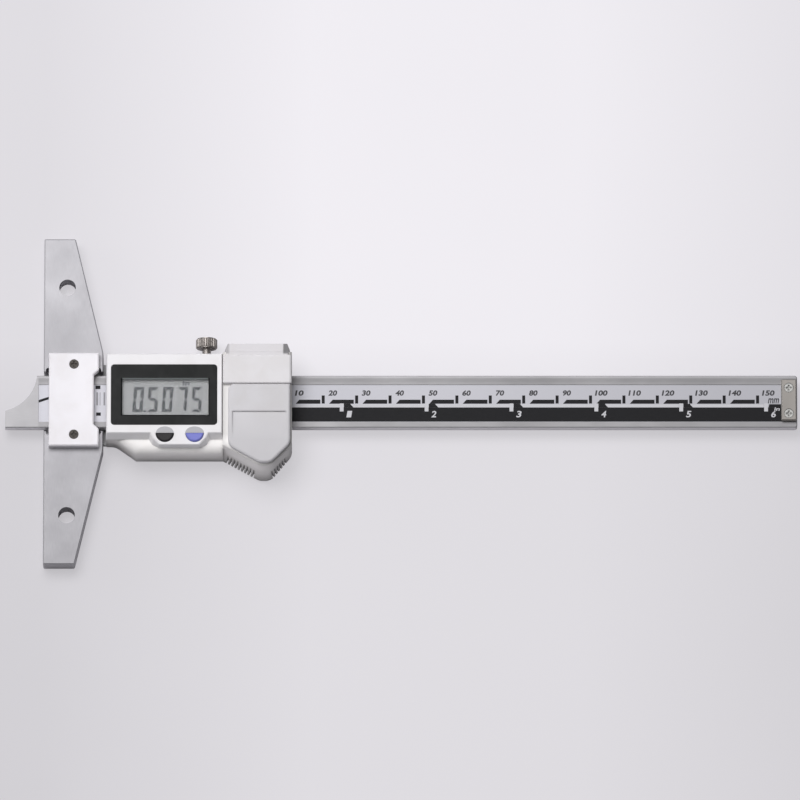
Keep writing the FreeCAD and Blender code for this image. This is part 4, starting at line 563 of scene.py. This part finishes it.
on_strip = ("beam", "scale_print")
plate("scale_black", black, STRIP_TOP, STRIP_TOP + INK, BLACK_INK_AND_SHADE, *on_strip)
plate("scale_white", white, STRIP_TOP, STRIP_TOP + 2 * INK, WHITE_INK, *on_strip)
words("scale_numbers", numbers, STRIP_TOP, STRIP_TOP + INK, NUMBER_INK, *on_strip, LEAN, 0.04)
words("scale_inch_numbers", inch_numbers, STRIP_TOP, STRIP_TOP + 3 * INK, WHITE_INK, *on_strip, LEAN)
words("scale_mm", [MM_UNIT], STRIP_TOP, STRIP_TOP + INK, NUMBER_INK, *on_strip, LEAN)
words("scale_inch", [INCH_UNIT], STRIP_TOP, STRIP_TOP + 3 * INK, WHITE_INK, *on_strip, LEAN)
plate("scale_lines", lines, STRIP_TOP, STRIP_TOP + INK, LINE_INK, *on_strip)
plate("scale_datum", [DATUM_LINE], STRIP_TOP, STRIP_TOP + INK, BLACK_INK_AND_SHADE, *on_strip)

# Display

PANEL_TOP = box_mm("lcd_panel")[1].z
SEGMENTS = {"0": "abcdef", "5": "acdfg", "7": "abc"}
READING = "05075"
DIGITS_LEFT, DIGITS_LOW, DIGIT_STEP = 26.6, -5.0, 4.37
POINT_LEFT, POINT_SIZE = 29.95, 0.80
DISPLAY_UNIT = ("in", 41.6, 3.25, 2.1, 1.35)
FILM = 0.02
CELL_WIDE, CELL_TALL, STROKE, SLOPE, GAP = 3.10, 7.75, 1.0, 0.07, 0.07


def segment(which, left, bottom):
    """Outline of one bar of a seven-bar digit, turning left."""
    wide, tall, bar, gap = CELL_WIDE, CELL_TALL, STROKE, GAP
    middle, half, tip = tall / 2, bar / 2, bar * 0.4
    near, far = bar + gap, wide - bar - gap
    bars = {
        "a": [(gap, tall), (wide - gap, tall), (far, tall - bar), (near, tall - bar)],
        "d": [(near, bar), (far, bar), (wide - gap, 0), (gap, 0)],
        "g": [(half + gap, middle), (near, middle + half), (far, middle + half),
              (wide - half - gap, middle), (far, middle - half), (near, middle - half)],
        "f": [(0, tall - gap), (bar, tall - near), (bar, middle + half + gap),
              (tip, middle + gap), (0, middle + tip + gap)],
        "e": [(0, middle - tip - gap), (tip, middle - gap), (bar, middle - half - gap),
              (bar, near), (0, gap)],
        "b": [(wide, tall - gap), (wide, middle + tip + gap), (wide - tip, middle + gap),
              (wide - bar, middle + half + gap), (wide - bar, tall - near)],
        "c": [(wide, gap), (wide - bar, near), (wide - bar, middle - half - gap),
              (wide - tip, middle - gap), (wide, middle - tip - gap)],
    }
    outline = [(left + x + SLOPE * y, bottom + y) for x, y in bars[which]]
    turn = sum(a[0] * b[1] - b[0] * a[1] for a, b in zip(outline, outline[1:] + outline[:1]))
    return outline if turn > 0 else outline[::-1]


lit, ghosts = [], []
for place, digit in enumerate(READING):
    for bar in "abcdefg":
        group = lit if bar in SEGMENTS[digit] else ghosts
        group.append(segment(bar, DIGITS_LEFT + DIGIT_STEP * place, DIGITS_LOW))
lit.append(oblong(POINT_LEFT, DIGITS_LOW, POINT_LEFT + POINT_SIZE, DIGITS_LOW + POINT_SIZE))
on_panel = ("head", "lcd_film")
plate("digits", lit, PANEL_TOP, PANEL_TOP + FILM, SEGMENT_INK, *on_panel)
plate("ghost_digits", ghosts, PANEL_TOP, PANEL_TOP + FILM / 2, GHOST_INK, *on_panel)
words("display_unit", [DISPLAY_UNIT], PANEL_TOP, PANEL_TOP + FILM, SEGMENT_INK, *on_panel, SLOPE, 0.03)

# Labels over the buttons

COVER_TOP = box_mm("front_cover")[1].z
LABEL_LOW, LABEL_TALL, LABEL_THICK, LABEL_STEPS = -11.72, 1.95, 0.02, 24
# Each as (name, centre X, half its width).
LABELS = (("zero_label", 36.4, 2.65), ("mode_label", 45.3, 2.8))


def half_moon(centre, half_wide):
    """Upper half of an ellipse, flat at the bottom."""
    turns = [math.pi * i / LABEL_STEPS for i in range(LABEL_STEPS + 1)]
    return [(centre + half_wide * math.cos(t), LABEL_LOW + LABEL_TALL * math.sin(t)) for t in turns]


for name, centre, half_wide in LABELS:
    shape = half_moon(centre, half_wide)
    plate(name, [shape], COVER_TOP, COVER_TOP + LABEL_THICK, LABEL_INK, "head", "housing_plastic")

# Floor, lamps and camera

PAPER = (0.905, 0.885, 0.925)
# Painted shade: a darker paper on the near side.
PAPER_NEAR_SHADE = (0.775, 0.758, 0.79)
PAPER_CLOUD = (0.80, 0.785, 0.825)
NEAR_TO_FAR = (-14.0, 20.0)
# Painted shade towards both ends: each as (X where it starts, X where it is full, share taken from the
# colour).
PAPER_END_SHADE = ((80.0, 0.0, 0.175), (160.0, 232.0, 0.105))
GLOW_SHARE = 0.70
FLOOR_HALF = 9000
FLOOR_DROP = 0.1


def pale_floor():
    """Paper sweep with painted shade, darker on the near side and toward both ends, and with part of its tone
    given to the camera alone, which softens the shadows."""
    look = Finish("pale_floor", Specular_IOR_Level=0.3, Roughness=0.7)
    cloud = look.noise(0.004, 4.0, 0.5)
    fine = look.noise(1.2, 3.0, 0.6)
    tone = look.blend(look.span(look.along("Y"), *NEAR_TO_FAR), PAPER_NEAR_SHADE, PAPER)
    for start, full, share in PAPER_END_SHADE:
        tone = look.blend(look.span(look.along("X"), start, full, 0.0, share), tone, (0.0, 0.0, 0.0))
    paper = look.blend(look.span(cloud, 0.35, 0.7, 0.0, 0.3), tone, PAPER_CLOUD)
    look.drive("Base Color", paper)
    look.relief(fine, 0.01, 0.3)
    path = look.tree.nodes.new("ShaderNodeLightPath")
    glow = look.tree.nodes.new("ShaderNodeEmission")
    look.link(paper, glow.inputs["Color"])
    mix = look.tree.nodes.new("ShaderNodeMixShader")
    look.link(look.maths("MULTIPLY", path.outputs["Is Camera Ray"], GLOW_SHARE), mix.inputs[0])
    look.link(look.shader.outputs["BSDF"], mix.inputs[1])
    look.link(glow.outputs["Emission"], mix.inputs[2])
    look.link(mix.outputs["Shader"], look.out.inputs["Surface"])
    mesh = bpy.data.meshes.new("floor")
    half = FLOOR_HALF * MM
    corners = [(-half, -half, 0), (half, -half, 0), (half, half, 0), (-half, half, 0)]
    mesh.from_pydata(corners, [], [(0, 1, 2, 3)])
    mesh.materials.append(look.material)
    piece = bpy.data.objects.new("floor", mesh)
    piece.location = (0, 0, -FLOOR_DROP * MM)
    bpy.context.scene.collection.objects.link(piece)


def lamp(name, place, aim, size, power, colour=(1, 1, 1)):
    """A rectangular lamp that the camera doesn't see: places and size in metres, power in watts."""
    data = bpy.data.lights.new(name, "AREA")
    data.shape = "RECTANGLE"
    data.size, data.size_y = size
    data.energy = power
    data.color = colour
    piece = bpy.data.objects.new(name, data)
    bpy.context.scene.collection.objects.link(piece)
    piece.visible_camera = False
    piece.location = place
    piece.rotation_euler = (Vector(aim) - Vector(place)).to_track_quat("-Z", "Y").to_euler()


pale_floor()
lamp("key", (-0.18, 0.36, 1.00), (0.08, 0.02, 0), (0.8, 0.6), 9.5, (1.0, 0.99, 1.0))
lamp("side", (-1.0, 0.15, 0.32), (0.05, 0.0, 0), (0.6, 0.4), 1.5)

WORLD_COLOUR, WORLD_STRENGTH = (0.97, 0.97, 1.0, 1.0), 0.21
world = bpy.data.worlds.new("studio")
world.use_nodes = True
background = world.node_tree.nodes["Background"]
background.inputs["Color"].default_value = WORLD_COLOUR
background.inputs["Strength"].default_value = WORLD_STRENGTH
bpy.context.scene.world = world

# The camera looks along the photo's direction at AIM, in millimetres, from FAR metres away.
AIM = Vector((106.63, 0.50, 6.0))
FAR = 5.0
TILT = math.radians(13.5)
LENS, SENSOR = 751.8, 36.0
camera_data = bpy.data.cameras.new("camera")
camera_data.lens = LENS
camera_data.sensor_width = SENSOR
camera_data.clip_start = 0.05
camera = bpy.data.objects.new("camera", camera_data)
camera.rotation_euler = (TILT, 0, 0)
camera.location = AIM * MM + FAR * Vector((0, -math.sin(TILT), math.cos(TILT)))
bpy.context.scene.collection.objects.link(camera)
bpy.context.scene.camera = camera
bpy.context.scene.view_settings.view_transform = "Standard"
